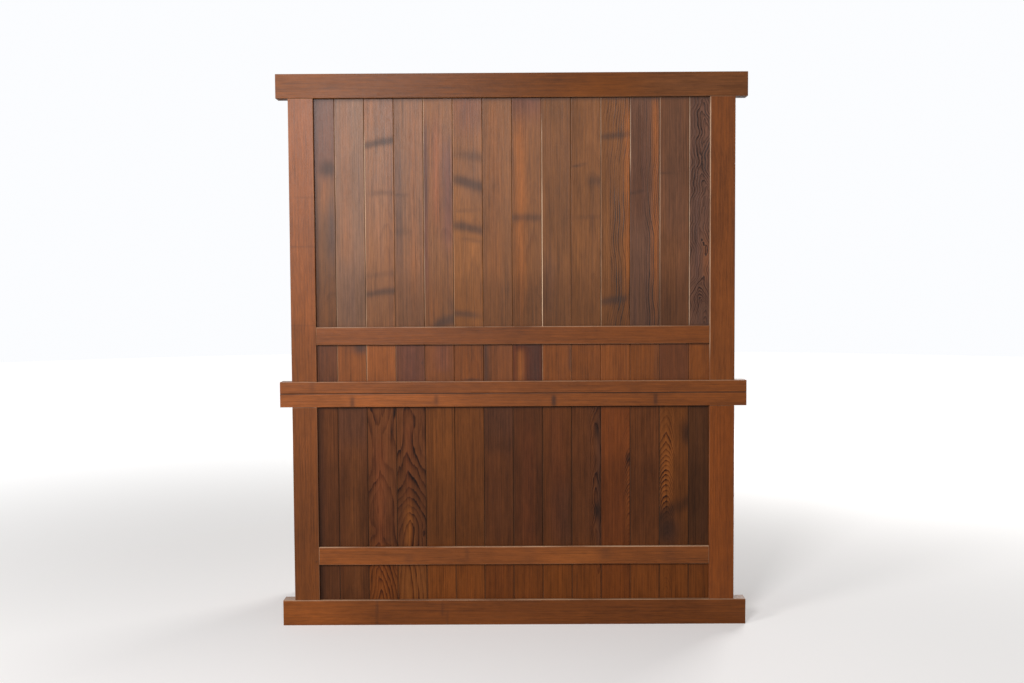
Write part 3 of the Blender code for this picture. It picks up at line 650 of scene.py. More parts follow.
def by_place(along, look, place):
    """What the timber paint reads, from where a point of a solid lies: the grain runs along a world axis."""

    def reader(paint):
        here = paint.node("ShaderNodeTexCoord", {}, {}, "Object")
        away = paint.node("ShaderNodeVectorMath", {"operation": "SUBTRACT"}, [here, tuple(place)])
        parts = paint.parts(away)
        ordered = [parts[axis] for axis in ALONG[along]]
        grain = paint.node("ShaderNodeCombineXYZ", {}, ordered)
        cut = look.cut
        away_x = ordered[0] - cut.side - ordered[2] * cut.lean
        away_y = ordered[1] + cut.depth + ordered[2] * cut.taper
        heart = paint.node("ShaderNodeCombineXYZ", {}, [away_x / cut.ring, away_y / cut.ring])
        return grain, heart, tuple(look.tone), 0.0, 0.0, cut.strength

    return reader


def timber_paint(
    name, roughness, fibre_depth, mottle_depth, coolness=0.3, reader=by_point, specular=0.2, smoke_and_shade_tone=0.8
):
    """Stained timber: year rings about the log's heart, fibres along the grain, smoky marks and painted
    shade, and edges paled for wear and painted highlights.
    """
    paint = Paint(name, roughness, 0.0, specular)
    grain, heart, tone, smoke_and_shade, edge, strength = reader(paint)
    radius = paint.node("ShaderNodeVectorMath", {"operation": "LENGTH"}, [heart], "Value")
    wander = paint.noise(grain, (16, 16, 2.4)) - 0.5
    jitter = paint.noise(grain, (210, 210, 8)) - 0.5
    years = radius + wander * 2.2 + jitter * 0.5
    phase = years.maths("FRACT")
    year = paint.node("ShaderNodeTexWhiteNoise", {"noise_dimensions": "1D"}, {"W": years.maths("FLOOR")})
    patches = paint.noise(grain, (26, 26, 7)).step(0.36, 0.60)
    late = phase**2.6 * (1 - phase.step(0.9, 1.0)) * (year * 0.9 + 0.3) * (patches * 0.6 + 0.4)
    fibre = paint.noise(grain, (1300, 1300, 26), 3.0, 0.6)
    streak = paint.noise(grain, (240, 240, 3.6), 3.0, 0.6)
    mottle = paint.noise(grain, (22, 22, 5), 3.0)
    cloud = paint.noise(grain, (7, 7, 1.3), 2.0)
    thread = paint.noise(grain, (420, 420, 7), 2.0, 0.6)
    depth = (fibre - 0.5) * fibre_depth
    depth = depth + (streak - 0.5) * (2.2 * fibre_depth) + (thread - 0.5) * (1.8 * fibre_depth)
    fleck = paint.noise(grain, (95, 95, 24), 3.0, 0.65)
    for blotch in (mottle, cloud, fleck):
        depth = depth + (blotch - 0.5) * mottle_depth
    shade = (1 + depth - late * strength).at_least(0.1)
    cool = (paint.noise(grain, (75, 75, 2.2), 3.0, 0.6) + (mottle - 0.5) * 0.4).step(0.46, 0.74)
    toned = paint.mix(cool * coolness, tone, paint.mix(1.0, tone, COOLED, "MULTIPLY"))
    colour = paint.times(toned, shade)
    red = paint.mix(late * strength, colour, LATE_WOOD, "MULTIPLY")
    gloss = roughness + (fibre - 0.5) * 0.16 + (cloud - 0.5) * 0.10
    height = fibre * 0.5 + streak * 0.7 + late * strength * 0.9
    if reader is not by_point:
        return paint.finish(red, gloss, height, WOOD_RELIEF)
    # Smoky marks and painted shadows, which come as bands, darken the colour here.
    torn = (smoke_and_shade * (0.45 + mottle * 0.7 + streak * 0.2)).step(0.0, 1.1)
    smoked_and_shaded = paint.mix(torn * 0.74, red, paint.times(tuple(SMOKE_AND_SHADE * smoke_and_shade_tone), shade))
    # Edges are paled both for wear and as painted highlights where they catch the light.
    rubbed_and_lit = edge * (mottle + streak * 0.6).step(0.45, 1.0)
    worn_and_lit = paint.mix(rubbed_and_lit, smoked_and_shaded, WEAR_AND_HIGHLIGHT)
    return paint.finish(worn_and_lit, gloss + torn * 0.05, height, WOOD_RELIEF)


def iron_paint():
    """Blackened iron: hammer marks and brown bloom in patches."""
    paint = Paint("iron", 0.5, 0.85, 0.5)
    place = paint.node("ShaderNodeTexCoord", {}, {}, "Object")
    dents = paint.noise(place, (260, 260, 260), 2.0)
    bloom = paint.noise(place, (90, 90, 90), 4.0, 0.65).step(0.48, 0.72)
    grit = paint.noise(place, (1500, 1500, 1500), 2.0)
    colour = paint.mix(bloom, IRON_BLACK, IRON_BROWN)
    roughness = 0.42 + bloom * 0.25 + (grit - 0.5) * 0.2
    return paint.finish(colour, roughness, dents + grit * 0.15, IRON_RELIEF)


looks = bpy.data.collections.new("kitchen_tansu")
bpy.context.scene.collection.children.link(looks)
frame_wood = timber_paint("frame_wood", 0.38, 0.40, 0.60, 0.35, smoke_and_shade_tone=0.45)
low_frame_wood = timber_paint("low_frame_wood", 0.38, 0.40, 0.60, 0.35, specular=0.13, smoke_and_shade_tone=0.45)
board_wood = timber_paint("board_wood", 0.38, 0.48, 0.58, 0.45)
low_board_wood = timber_paint("low_board_wood", 0.42, 0.48, 0.62, 0.35, specular=0.11, smoke_and_shade_tone=0.25)
inner_wood = timber_paint("inner_wood", 0.62, 0.22, 0.22)
door_wood = timber_paint("door_wood", 0.46, 0.20, 0.16)
iron = iron_paint()

straight = Cut(side=0.09, depth=0.10, ring=0.0050, waver=0.010, strength=0.20)
STAINED = HONEY * np.array([0.83, 0.80, 0.70])
framing = Look(STAINED, straight, edges=0.45)
# Painted highlights along the top edges of rails, which face the light from above.
TOP_LIT = [(1, 0.4, -0.1, 1.1)]
# A painted shadow across the head of each back board, under the rail above it.
HEAD_SHADE = (0.99, 0.009, 0.0, 0.9, 0.0, 3.0)
# A painted shadow along the top edge of the lower case's top rail, where the upper case sits on it.
JOINT_SHADOW = [(1, JOINT_SHADOW_WIDTH, SMOKE_AND_SHADE * 0.4, 1.0, -1, 2)]
# The first streak of each back rail lightens its end towards +X, the side of the window lamp: painted light
# on top of what the lamps give.
MEMBER_LOOKS = {
    "upper_back_top_rail": Look(
        STAINED * np.array([0.63, 0.62, 0.34]), straight,
        streaks=[
            (0, 3, STAINED * np.array([0.9, 0.88, 0.4]), 0.8, 0.8, 1.2),
            (0, 3, STAINED * np.array([0.67, 0.9, 1.9]), 0.8, -1, 0.22),
        ],
        edges=0.3,
    ),
    "upper_back_mid_rail": Look(
        STAINED * 0.78, straight,
        streaks=[(0, 3, STAINED * 0.92, 0.8, 0.75, 1.2)], pale=TOP_LIT,
    ),
    "upper_back_base_rail": Look(
        STAINED * 0.82, straight,
        # Its second streak is a painted shadow along the bottom edge, at the joint with the lower case.
        streaks=[(0, 3, STAINED * 1.15, 0.8, 0.8, 1.2), (-1, JOINT_SHADOW_WIDTH, SMOKE_AND_SHADE * 0.4, 1.0, -1, 2)],
        bands=[(0.93, 0.012, 0, 0.5, 0, 2), (0.24, 0.03, 0, 0.3, 0, 2)], edges=0.1, pale=[(1, 0.3, 0, 1)],
    ),
    "lower_back_top_rail": Look(
        STAINED * 0.9, straight,
        streaks=[(0, 3, STAINED * 1.35, 0.8, 0.62, 1.2), *JOINT_SHADOW],
        bands=[
            (0.845, 0.008, 0, 0.9, -0.3, 1), (0.665, 0.008, 0, 0.8, 0, 1), (0.413, 0.008, 0, 1.1, -0.2, 1),
            (0.195, 0.007, 0, 1.0, 0, 1),
        ],
        edges=0.1,
    ),
    "lower_back_mid_rail": Look(
        STAINED * 0.86, straight,
        streaks=[(0, 3, STAINED * 1.08, 0.8, 0.8, 1.2), (0, 2, AMBER * 1.15, 0.6, 0.3, 0.36)],
        bands=[
            (0.265, 0.026, 0, 0.5, 0.2, 0.8), (0.62, 0.008, 0, 0.6, 0.2, 0.8),
            (0.77, 0.02, 0, 0.45, -0.3, 0.7), (0.1, 0.035, 0, 0.5, 0, 1.0), (0.46, 0.03, 0, 0.35, 0, 1.5),
        ],
        pale=[(1, 0.55, -0.1, 1.1)],
    ),
    "lower_back_base_rail": Look(
        STAINED * np.array([0.66, 0.64, 0.52]), straight,
        streaks=[(0, 3, STAINED * np.array([1.12, 1.1, 0.95]), 0.8, 0.84, 1.2)],
        bands=[
            (0.797, 0.004, 0, 0.8, 0, 1.5), (0.655, 0.006, 0, 0.6, 0.3, 0.7),
            (0.645, 0.004, 0, 0.6, -0.5, 0.8),
        ],
        pale=TOP_LIT,
    ),
    "upper_post_back_right": Look(
        STAINED * 1.03, straight,
        bands=[(0.655, 0.0025, 0, 0.55, 0, 2), (0.48, 0.0025, 0, 0.5, 0, 2), (0.2, 0.0025, 0, 0.5, 0, 2)],
    ),
    "upper_post_back_left": Look(STAINED * 0.82, straight, edges=0.3, pale=[(1, 0.8, 0.1, 1)]),
    "lower_post_back_right": Look(
        STAINED * np.array([0.66, 0.65, 0.55]), straight,
        streaks=[(0, 2, STAINED * 0.9, 0.6, 0.75, 1.2)], knots=[(-0.75, 0.2, 0.003)],
    ),
    "lower_post_back_left": Look(STAINED * np.array([0.88, 0.78, 0.53]), straight, edges=0.3),
}

# The boards of the back, from the left of the photograph to its right

quarter = Cut(side=0.20, depth=0.03, ring=0.0034, strength=0.20)
flat = Cut(side=0.02, depth=0.10, ring=0.0040, taper=0.03, strength=0.22)
flame = Cut(
    side=-0.012, depth=0.032, ring=0.0036, taper=0.040, waver=0.006, strength=1.15, point=0.018, rest=1.0,
    reach=0.4, swells=[(-0.25, 0.36, 0.040, 0.090, 0.008), (-0.25, 0.72, 0.040, 0.090, 0.006)],
)
steep = Cut(
    side=-0.013, depth=0.036, ring=0.0032, taper=0.045, waver=0.006, strength=1.35, point=0.014, rest=1.0,
    reach=0.35, swells=[(-0.28, 0.62, 0.040, 0.090, 0.0035)],
)
eyed = Cut(side=-0.025, depth=0.050, ring=0.0018, taper=0.095, waver=0.003, strength=2.4,
           where=(-0.50, 0.55, 0.66, 0.23))
grained = Cut(side=0.11, depth=0.03, ring=0.0034, strength=0.40)
edged = Cut(side=0.034, depth=0.016, ring=0.0034, taper=0.020, waver=0.007, strength=1.7, reach=0.18,
            where=(0.80, 0.50, 0.62, 0.50))
feathered = Cut(side=0.046, depth=0.030, ring=0.0017, taper=0.100, waver=0.004, strength=2.4,
                where=(0.98, 0.34, 0.60, 0.15))
bold = Cut(
    side=-0.085, depth=0.040, ring=0.0062, lean=0.035, waver=0.010, strength=1.7, where=(0.6, 1.1, 0.5, 9.0)
)
fringed = Cut(side=-0.085, depth=0.040, ring=0.0058, lean=-0.02, waver=0.010, strength=1.8,
              where=(0.75, 0.65, 0.5, 9.0))
figured = Cut(
    side=0.008, depth=0.040, ring=0.0023, taper=0.062, waver=0.014, strength=1.7, point=0.030, reach=0.20
)
UPPER_TINT = np.array([0.87, 1.00, 1.16])
SMALL_FIELD_TINT = np.array([0.80, 0.73, 0.66])
DARK_FOOT_TINT = np.array([0.59, 0.54, 0.46])

UPPER_BACK = [
    Look(
        BROWN * 0.82, flat,
        streaks=[
            # The first streak is a painted shadow that the post beside this board casts over its edge.
            (-1.0, 0.45, UMBER * 0.35, 0.9, -1, 2), (0.1, 0.45, AMBER, 0.6, 0.52, 0.66),
            (0.7, 0.5, SMOKE_AND_SHADE * 1.6, 0.7, 0.28, 0.54), (0, 2, PLUM * 0.75, 0.6, 0.66, 1.2),
            (0, 1, AMBER, 0.5, 0, 0.15),
        ],
        bands=[(0.69, 0.026, 0.0, 1.1, 0.35, 0.75)], knots=[(0.82, 0.385, 0.0022)], edges=0.2,
    ),
    # Brown greyed with green and blue: the board's own tone with a painted sheen of reflected light.
    Look(
        BROWN * np.array([1.1, 1.4, 2.5]), quarter,
        streaks=[(-0.3, 0.4, AMBER * 1.1, 0.35, 0.3, 1), (0.0, 1.5, SMOKE_AND_SHADE * 2, 0.3, 0.0, 0.25)], edges=0.2,
        pale=[(-1, 0.35, 0, 1)],
    ),
    # Amber greyed with green and blue: the board's own tone with a painted sheen of reflected light.
    Look(
        AMBER * np.array([0.97, 1.08, 1.8]), flat,
        streaks=[(0, 2, BROWN * 1.1, 0.5, 0.85, 1.2), (0.7, 0.3, BROWN, 0.5, 0, 1)],
        bands=[
            (0.803, 0.013, 0.17, 1.1, 0.15, 1.7), (0.587, 0.01, 0.04, 0.65, 0.3, 1.1),
            (0.235, 0.012, 0.12, 0.5, 0, 2), (0.158, 0.012, 0.12, 1.0, 0, 2),
        ],
        edges=0.2, pale=[(-1, 0.7, 0, 0.86)],
    ),
    # Brown greyed with green and blue: the board's own tone with a painted sheen of reflected light.
    Look(
        BROWN * np.array([1.14, 1.22, 1.6]), quarter,
        streaks=[(-0.75, 0.25, SMOKE_AND_SHADE * 2.2, 0.5, 0.25, 0.75), (0.35, 0.3, AMBER, 0.4, 0, 1)],
        bands=[(0.42, 0.016, 0.0, 0.5, -0.5, 0.7), (0.577, 0.006, 0.0, 0.7, -0.5, 0.6)],
        knots=[(-0.82, 0.577, 0.004)], edges=0.2,
    ),
    Look(
        BROWN * 1.07, flat,
        streaks=[
            (-0.92, 0.22, PLUM * 0.7, 0.9, 0.1, 0.88), (0.65, 0.42, PLUM * 0.9, 0.8, 0.35, 0.8),
            (-0.15, 0.3, RUST * 1.3, 0.5, 0.45, 0.9), (-0.4, 0.5, AMBER, 0.9, 0.02, 0.14),
        ],
        bands=[
            (0.02, 0.02, 0.35, 1.1, 0.5, 1.0), (0.1, 0.03, 0.0, 0.6, 0.9, 0.4),
            (0.6, 0.1, 0.0, 0.45, -0.9, 0.3),
        ],
        edges=0.2, pale=[(-1, 0.5, 0, 1)],
    ),
    Look(
        AMBER * 0.92, flat,
        streaks=[(0, 1.5, PLUM, 0.6, 0.84, 1.2), (0.3, 0.9, SMOKE_AND_SHADE * 2, 0.35, 0.55, 0.78)],
        bands=[
            (0.745, 0.018, -0.1, 0.7, 0.1, 1.4), (0.628, 0.019, -0.28, 1.1, 0.1, 1.6),
            (0.51, 0.006, 0.05, 0.6, 0.0, 1.0), (0.435, 0.016, -0.2, 1.05, 0.1, 1.5),
            (0.385, 0.008, -0.15, 0.6, 0.3, 0.9), (0.06, 0.012, -0.1, 0.9, -0.3, 1.2),
        ],
        edges=0.2, pale=[(-1, 0.3, 0, 1)],
    ),
    Look(BROWN * 1.03, quarter, [(-0.2, 0.5, AMBER, 0.3, 0, 1)], edges=0.15),
    Look(
        BROWN * 0.97, flat,
        streaks=[(-0.45, 0.45, AMBER * 1.05, 0.65, 0.0, 0.9), (0, 2, PLUM * 0.8, 0.8, 0.92, 1.2)],
        bands=[(0.478, 0.014, 0.02, 0.9, -0.1, 1.6)], edges=0.15,
    ),
    Look(
        BROWN * 0.94, quarter,
        streaks=[(-0.5, 0.6, SMOKE_AND_SHADE * 1.7, 0.4, 0.05, 0.3)], edges=0.1, pale=[(-1.0, 1.4, -0.1, 0.87)],
    ),
    Look(
        BROWN * 0.98, flat,
        bands=[
            (0.705, 0.004, 0.12, 1.0, -0.45, 0.55), (0.63, 0.02, 0.1, 0.8, 0.65, 0.6),
            (0.478, 0.008, 0.02, 0.5, 0.1, 1.2),
        ],
        edges=0.1,
    ),
    Look(
        BROWN * 0.98, bold,
        streaks=[(0.85, 0.25, AMBER * 1.1, 0.8, 0.0, 0.95)],
        bands=[(0.828, 0.012, 0.12, 0.9, 0.0, 1.2), (0.12, 0.014, 0.15, 1.0, -0.1, 1.1)], edges=0.1,
        pale=[(-1, 0.4, 0, 1)],
    ),
    # Umber greyed with green and blue: the board's own tone with a painted sheen of reflected light.
    Look(
        UMBER * np.array([1.1, 1.32, 2.0]), fringed,
        streaks=[(0.72, 0.25, AMBER, 0.9, 0, 1), (-0.4, 0.7, (UMBER + SMOKE_AND_SHADE) * 0.6, 0.7, 0.45, 0.95)],
        bands=[(0.59, 0.006, 0.15, 0.8, -0.6, 0.7)], edges=0.1, pale=[(-1, 0.9, 0.7, 0.95)],
    ),
    Look(
        UMBER * 1.22, quarter,
        streaks=[(0, 1, SMOKE_AND_SHADE * 2.0, 0.3, 0.4, 1)], bands=[(0.67, 0.004, 0.05, 0.7, -0.6, 0.7)], edges=0.1,
        pale=[(-1, 0.5, 0, 1)],
    ),
    Look(
        (UMBER + SMOKE_AND_SHADE * 1.8) / 1.34, figured,
        streaks=[(0.5, 0.35, AMBER * 0.9, 0.5, 0.2, 0.37), (-0.5, 0.4, SMOKE_AND_SHADE * 1.5, 0.4, 0.3, 1)],
        edges=0.2, pale=[(-1, 0.6, 0, 1)],
    ),
]
UPPER_LOW_BACK = [
    Look(UMBER * 1.05, flat, knots=[(-0.2, 0.82, 0.003)]),
    Look(AMBER * 0.8, flat, [(0.6, 0.6, SMOKE_AND_SHADE, 0.8, 0.75, 1.2)], pale=[(-1, 0.4, 0, 1)]),
    Look(AMBER * 0.95, quarter, pale=[(-1, 0.5, 0, 1)]),
    Look(UMBER, flat, [(0, 1, PLUM * 0.8, 0.5, 0, 1)], knots=[(0.85, 0.5, 0.004)]),
    Look(BROWN * 0.95, quarter, [(0.2, 0.6, PLUM, 0.4, 0.3, 1)], edges=0.1),
    Look(AMBER * 0.78, flat, [], [(0.07, 0.003, 0.06, 0.9, 0.2, 0.8)], edges=0.1),
    Look(BROWN * 0.88, quarter, [(-0.85, 0.2, SMOKE_AND_SHADE, 0.7, 0, 1)], edges=0.1),
    Look(
        UMBER * np.array([0.76, 0.55, 0.42]), grained,
        streaks=[(-0.5, 0.3, AMBER, 0.7, 0, 0.8), (0.5, 0.5, SMOKE_AND_SHADE, 0.5, 0, 1)], edges=0.1,
    ),
    Look(AMBER * 0.82, quarter, [(0.9, 0.1, SMOKE_AND_SHADE, 0.8, 0.3, 0.9)], pale=[(-1, 0.4, 0, 1)]),
    Look(AMBER * 0.75, quarter, edges=0.1),
    Look(AMBER * 0.74, flat, edges=0.1),
    Look(AMBER * 0.74, quarter, [(0.9, 0.3, UMBER, 0.6, 0, 1)], edges=0.1),
    Look(UMBER, quarter, edges=0.1),
    Look(AMBER * 0.78, flat, edges=0.1),
]
SEAMS = [(-1, 0.022, SMOKE_AND_SHADE * 0.5, 0.7, -1, 2), (1, 0.022, SMOKE_AND_SHADE * 0.5, 0.7, -1, 2)]
LOW_TINT = np.array([0.75, 0.71, 0.62])
FOOT = (0, 2, AMBER * LOW_TINT * np.array([0.82, 0.75, 0.64]), 0.75, -1, 0.24)
DIM_FOOT = (0, 2, AMBER * LOW_TINT * np.array([0.66, 0.58, 0.48]), 0.75, -1, 0.24)


def low_board(tone, cut, streaks=(), bands=(), knots=()):
    """A dark board of the lower back, with dark seams and a warmer foot below the rail."""
    lighter_head = (0, 9, tone * LOW_TINT * 1.28, 1.0, 0.72, 2)
    return Look(tone * LOW_TINT, cut, [lighter_head, *streaks, *SEAMS], bands, knots, 0.08)


LOWER_BACK = [
    low_board(
        UMBER * 0.76, grained,
        # The streak at -1 is a painted shadow that the post beside this board casts over its edge.
        streaks=[(0, 2, UMBER * 0.55, 0.9, -1, 0.27), (-1, 0.5, SMOKE_AND_SHADE * 0.5, 0.8, -1, 2)],
    ),
    low_board(
        UMBER * 0.78, grained,
        streaks=[(0.1, 0.5, BROWN * 0.8, 0.4, 0, 0.8), (0, 2, SMOKE_AND_SHADE * 1.5, 0.3, 0.8, 1.2)],
    ),
    low_board(
        UMBER * 0.9, flame,
        streaks=[(-0.2, 0.5, RUST * 0.8, 0.5, 0.1, 0.8), FOOT], bands=[(0.31, 0.01, 0.0, 0.5, 0.2, 0.5)],
        knots=[(0.9, 0.17, 0.003)],
    ),
    low_board(
        UMBER * 0.9, steep,
        streaks=[
            (-0.2, 0.3, AMBER * 0.85, 0.8, 0.26, 0.5), (0, 2, AMBER * 0.72, 0.8, -1, 0.2),
            (-0.2, 0.25, RUST * 0.7, 0.5, 0.5, 0.9),
        ],
        knots=[(0.75, 0.345, 0.003)],
    ),
    low_board(
        BROWN * 0.68, quarter,
        streaks=[(0.3, 0.8, AMBER * 0.72, 0.3, 0.6, 1), FOOT], bands=[(0.4, 0.02, 0.0, 0.5, 1.0, 0.2)],
    ),
    low_board(BROWN * 0.68, grained, [FOOT]),
    low_board(
        UMBER * 0.78, grained,
        streaks=[(0, 2, SMOKE_AND_SHADE, 0.4, 0.82, 1.2), DIM_FOOT], bands=[(0.79, 0.03, 0.0, 0.5, 0, 2)],
    ),
    low_board(UMBER * 0.57, grained, [(0, 0.6, RUST * 0.58, 0.4, 0, 0.9), FOOT]),
    low_board(
        BROWN * 0.47, quarter,
        streaks=[(0, 1, RUST * 0.5, 0.5, 0.3, 1), (0.5, 0.8, SMOKE_AND_SHADE, 0.3, 0.2, 0.6), FOOT],
    ),
    low_board(
        UMBER * 0.82, edged,
        streaks=[(0.9, 0.3, SMOKE_AND_SHADE, 0.4, 0.25, 1), FOOT],
        bands=[
            (0.867, 0.03, 0, 1.1, 0.75, 0.18), (0.62, 0.045, 0, 0.8, 0.82, 0.14),
            (0.463, 0.03, 0, 1.1, 0.75, 0.25),
        ],
    ),
    low_board(
        BROWN * np.array([0.7, 0.6, 0.6]), feathered,
        streaks=[(0.85, 0.12, HONEY, 0.35, 0.35, 0.75), DIM_FOOT],
        bands=[(0.723, 0.02, 0, 1.2, 0.88, 0.14)],
    ),
    low_board(UMBER * 0.88, grained, [FOOT]),
    low_board(
        BROWN * 0.65, eyed,
        streaks=[
            (-0.5, 0.45, AMBER * 0.9, 0.5, 0.45, 0.85), (-0.5, 0.9, SMOKE_AND_SHADE * 0.7, 0.8, 0.26, 0.43), FOOT,
        ],
        bands=[
            (0.86, 0.045, 0, 1.0, 0.9, 0.5), (0.465, 0.028, 0.62, 0.8, 0, 2),
            (0.38, 0.05, 0.3, 0.6, -0.6, 0.8),
        ],
    ),
    low_board(UMBER * np.array([0.53, 0.6, 0.72]), grained, [FOOT]),
]


def back_boards(case, node, low, high, boards, finish, seed):
    """Upright boards side by side across the back, between the posts, each a piece of its own."""
    edges = [step * BOARD_PITCH for step in range(-6, 7)]
    edges = [-case.inner_x - BOARD_TONGUE, *edges, case.inner_x + BOARD_TONGUE]
    for number, look in enumerate(boards, 1):
        right, left = edges[-number - 1], edges[-number]
        board = Timber().add(
            (right + BOARD_GAP / 2, case.board_y, low - BOARD_END),
            (left - BOARD_GAP / 2, case.board_y + BOARD_THICKNESS, high + BOARD_END),
            "z", turned(look), seed + number * 11, BOARD_EASE, BOARD_CELL, BACK_BOW,
        )
        board.piece(f"{node}_{number:02}", finish, case.body, node)


def flipped(marks_across):
    """Marks that begin with a place across, on the other hand."""
    return [(-across, *rest) for across, *rest in marks_across]


def turned(look):
    """A look seen from behind: what the photograph shows at the left lies towards +X."""
    cut = look.cut
    where = (-cut.where[0], *cut.where[1:])
    bands = [
        (along, height, -slant, strength, -across, width)
        for along, height, slant, strength, across, width in look.bands
    ]
    return replace(
        look,
        cut=replace(cut, side=-cut.side, lean=-cut.lean, swells=flipped(cut.swells), where=where),
        streaks=flipped(look.streaks),
        # Every back board gets HEAD_SHADE as well, a painted shadow under the rail above it.
        bands=bands + [HEAD_SHADE],
        knots=flipped(look.knots),
        pale=flipped(look.pale),
    )


def member_look(name):
    """The look of a post or rail, by the name of what it stands for."""
    return MEMBER_LOOKS.get(name, framing)


def framework(case, seed):
    """The posts and rails of a case."""
    for end in ENDS:
        in_front = end == "front"
        near, far = (case.front_y, case.front_inner_y) if in_front else (case.back_inner_y, case.back_y)
        cell = FRAME_CELL if in_front else MARKED_CELL
        for level, low, high in (("base", case.base, case.floor), ("top", case.head, case.top)):
            node = f"{case.name}_{end}_{level}_rail"
            seed += 7
            if in_front and level == "top":
                continue
            rail = Timber().add(
                (-case.end_x, near, low), (case.end_x, far, high), "x", member_look(node), seed, cell=cell
            )
            finish = low_frame_wood if node == "upper_back_top_rail" else frame_wood
            rail.piece(f"{node}_timber", finish, case.body, node)
        for side_name, side in SIDES.items():
            node = f"{case.name}_post_{end}_{side_name}"
            seed += 7
            post = Timber().add(
                (side * case.inner_x, near, case.floor + FIT),
                (side * case.outer_x, far, case.head - FIT),
                "z", member_look(node), seed, cell=cell,
            )
            post.piece(f"{node}_timber", frame_wood, case.body, node)
        if in_front:
            continue
        node = f"{case.name}_{end}_mid_rail"
        seed += 7
        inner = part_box(node)[0].y
        rail = Timber().add(
            (-case.inner_x + FIT, max(near, inner), case.mid_low),
            (case.inner_x - FIT, far, case.mid_high),
            "x", member_look(node), seed, cell=cell,
        )
        rail.piece(f"{node}_timber", frame_wood, case.body, node)


lower = Case("lower")
upper = Case("upper")
framework(lower, 100)
framework(upper, 300)
for look in UPPER_BACK:
    look.tone = look.tone * UPPER_TINT
    dark_foot = (0, 9, look.tone * DARK_FOOT_TINT, 0.6, -1, 0.22)
    look.streaks = [*look.streaks, dark_foot]
for look in UPPER_LOW_BACK:
    look.tone = look.tone * SMALL_FIELD_TINT
back_boards(upper, "upper_back_boards", upper.mid_high, upper.head, UPPER_BACK, board_wood, 1000)
back_boards(upper, "upper_low_back_boards", upper.floor, upper.mid_low, UPPER_LOW_BACK, board_wood, 2000)
back_boards(lower, "lower_back_boards", lower.floor, lower.head, LOWER_BACK, low_board_wood, 3000)


# The sides, tops and insides of the cases


def boards_across(low, high, edges, looks_of_boards, seed, **settings):
    """Boards side by side in one piece, with their edges at places in depth and their grain along X."""
    timber = Timber()
    for number, (near, far) in enumerate(zip(edges, edges[1:])):
        look = looks_of_boards[(number + seed) % len(looks_of_boards)]
        timber.add(
            (low[0], near + BOARD_GAP / 2, low[2]), (high[0], far - BOARD_GAP / 2, high[2]),
            "x", look, seed + 13 * number, **settings,
        )
    return timber


def side_panel(case, side_name, side, cleat_levels, seed):
    """A side of a case: four upright boards, each a piece, three rails, and the cleats inside."""
    node = f"{case.name}_side_{side_name}"
    low_y, high_y = case.front_inner_y, case.back_inner_y
    middle = (low_y + high_y) / 2
    inner_edges = [middle + step * BOARD_PITCH for step in (-1, 0, 1)]
    edges = [low_y - BOARD_TONGUE, *inner_edges, high_y + BOARD_TONGUE]
    for number, (near, far) in enumerate(zip(edges, edges[1:]), 1):
        look = PANEL_LOOKS[(number + seed) % len(PANEL_LOOKS)]
        board = Timber().add(
            (side * SIDE_BOARD_X, near + BOARD_GAP / 2, case.floor - BOARD_END),
            (side * (SIDE_BOARD_X + BOARD_THICKNESS), far - BOARD_GAP / 2, case.head + BOARD_END),
            "z", look, seed + number * 11, BOARD_EASE, BOARD_CELL, SIDE_BOW,
        )
        board.piece(f"{node}_board_{number}", board_wood, case.body, node)
    base, mid, top = (case.base, case.floor), (case.mid_low, case.mid_high), (case.head, case.top)
    for level, (low, high) in (("base", base), ("mid", mid), ("top", top)):
        rail = Timber().add(
            (side * SIDE_RAIL_X, low_y + FIT, low),
            (side * case.outer_x, high_y - FIT, high),
            "y", framing, seed + len(level) + round(low * 100),
        )
        rail.piece(f"{node}_{level}_rail", frame_wood, case.body, node)
    cleats = Timber()
    for level in cleat_levels:
        cleats.add(
            (side * (SIDE_BOARD_X - CLEAT_THICKNESS), low_y + CLEAT_END, level - CLEAT_HEIGHT),
            (side * SIDE_BOARD_X, high_y - CLEAT_END, level - FIT),
            "y", pale_inside, seed + 5, INNER_EASE,
        )
    cleats.piece(f"{node}_cleats", inner_wood, case.body, node)


def top_boards(case, seed):
    """The top: four wide boards between the rails."""
    node = f"{case.name}_top_board"
    low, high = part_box(node)
    edges = list(np.linspace(low.y, high.y, TOP_BOARDS + 1))
    top = boards_across(low, high, edges, TOP_LOOKS, seed, ease=TOP_EASE, cell=TOP_CELL)
    top.piece(f"{node}_timber", board_wood, case.body, node)


def bottom_boards(case, seed):
    """The boards that the drawers run on, with a guide at each side."""
    node = f"{case.name}_bottom_board"
    low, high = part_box(node)
    edges = list(np.linspace(low.y, high.y, BOTTOM_BOARDS + 1))
    floor = (high.x, high.y, case.floor)
    bottom = boards_across(low, floor, edges, INSIDE_LOOKS, seed, ease=INNER_EASE)
    for side in SIDES.values():
        bottom.add(
            (side * case.inner_x, case.front_inner_y + FIT, case.floor),
            (side * (high.x - FIT), case.back_inner_y - FIT, high.z),
            "y", pale_inside, seed + 3, TOP_EASE,
        )
    bottom.piece(f"{node}_timber", inner_wood, case.body, node)


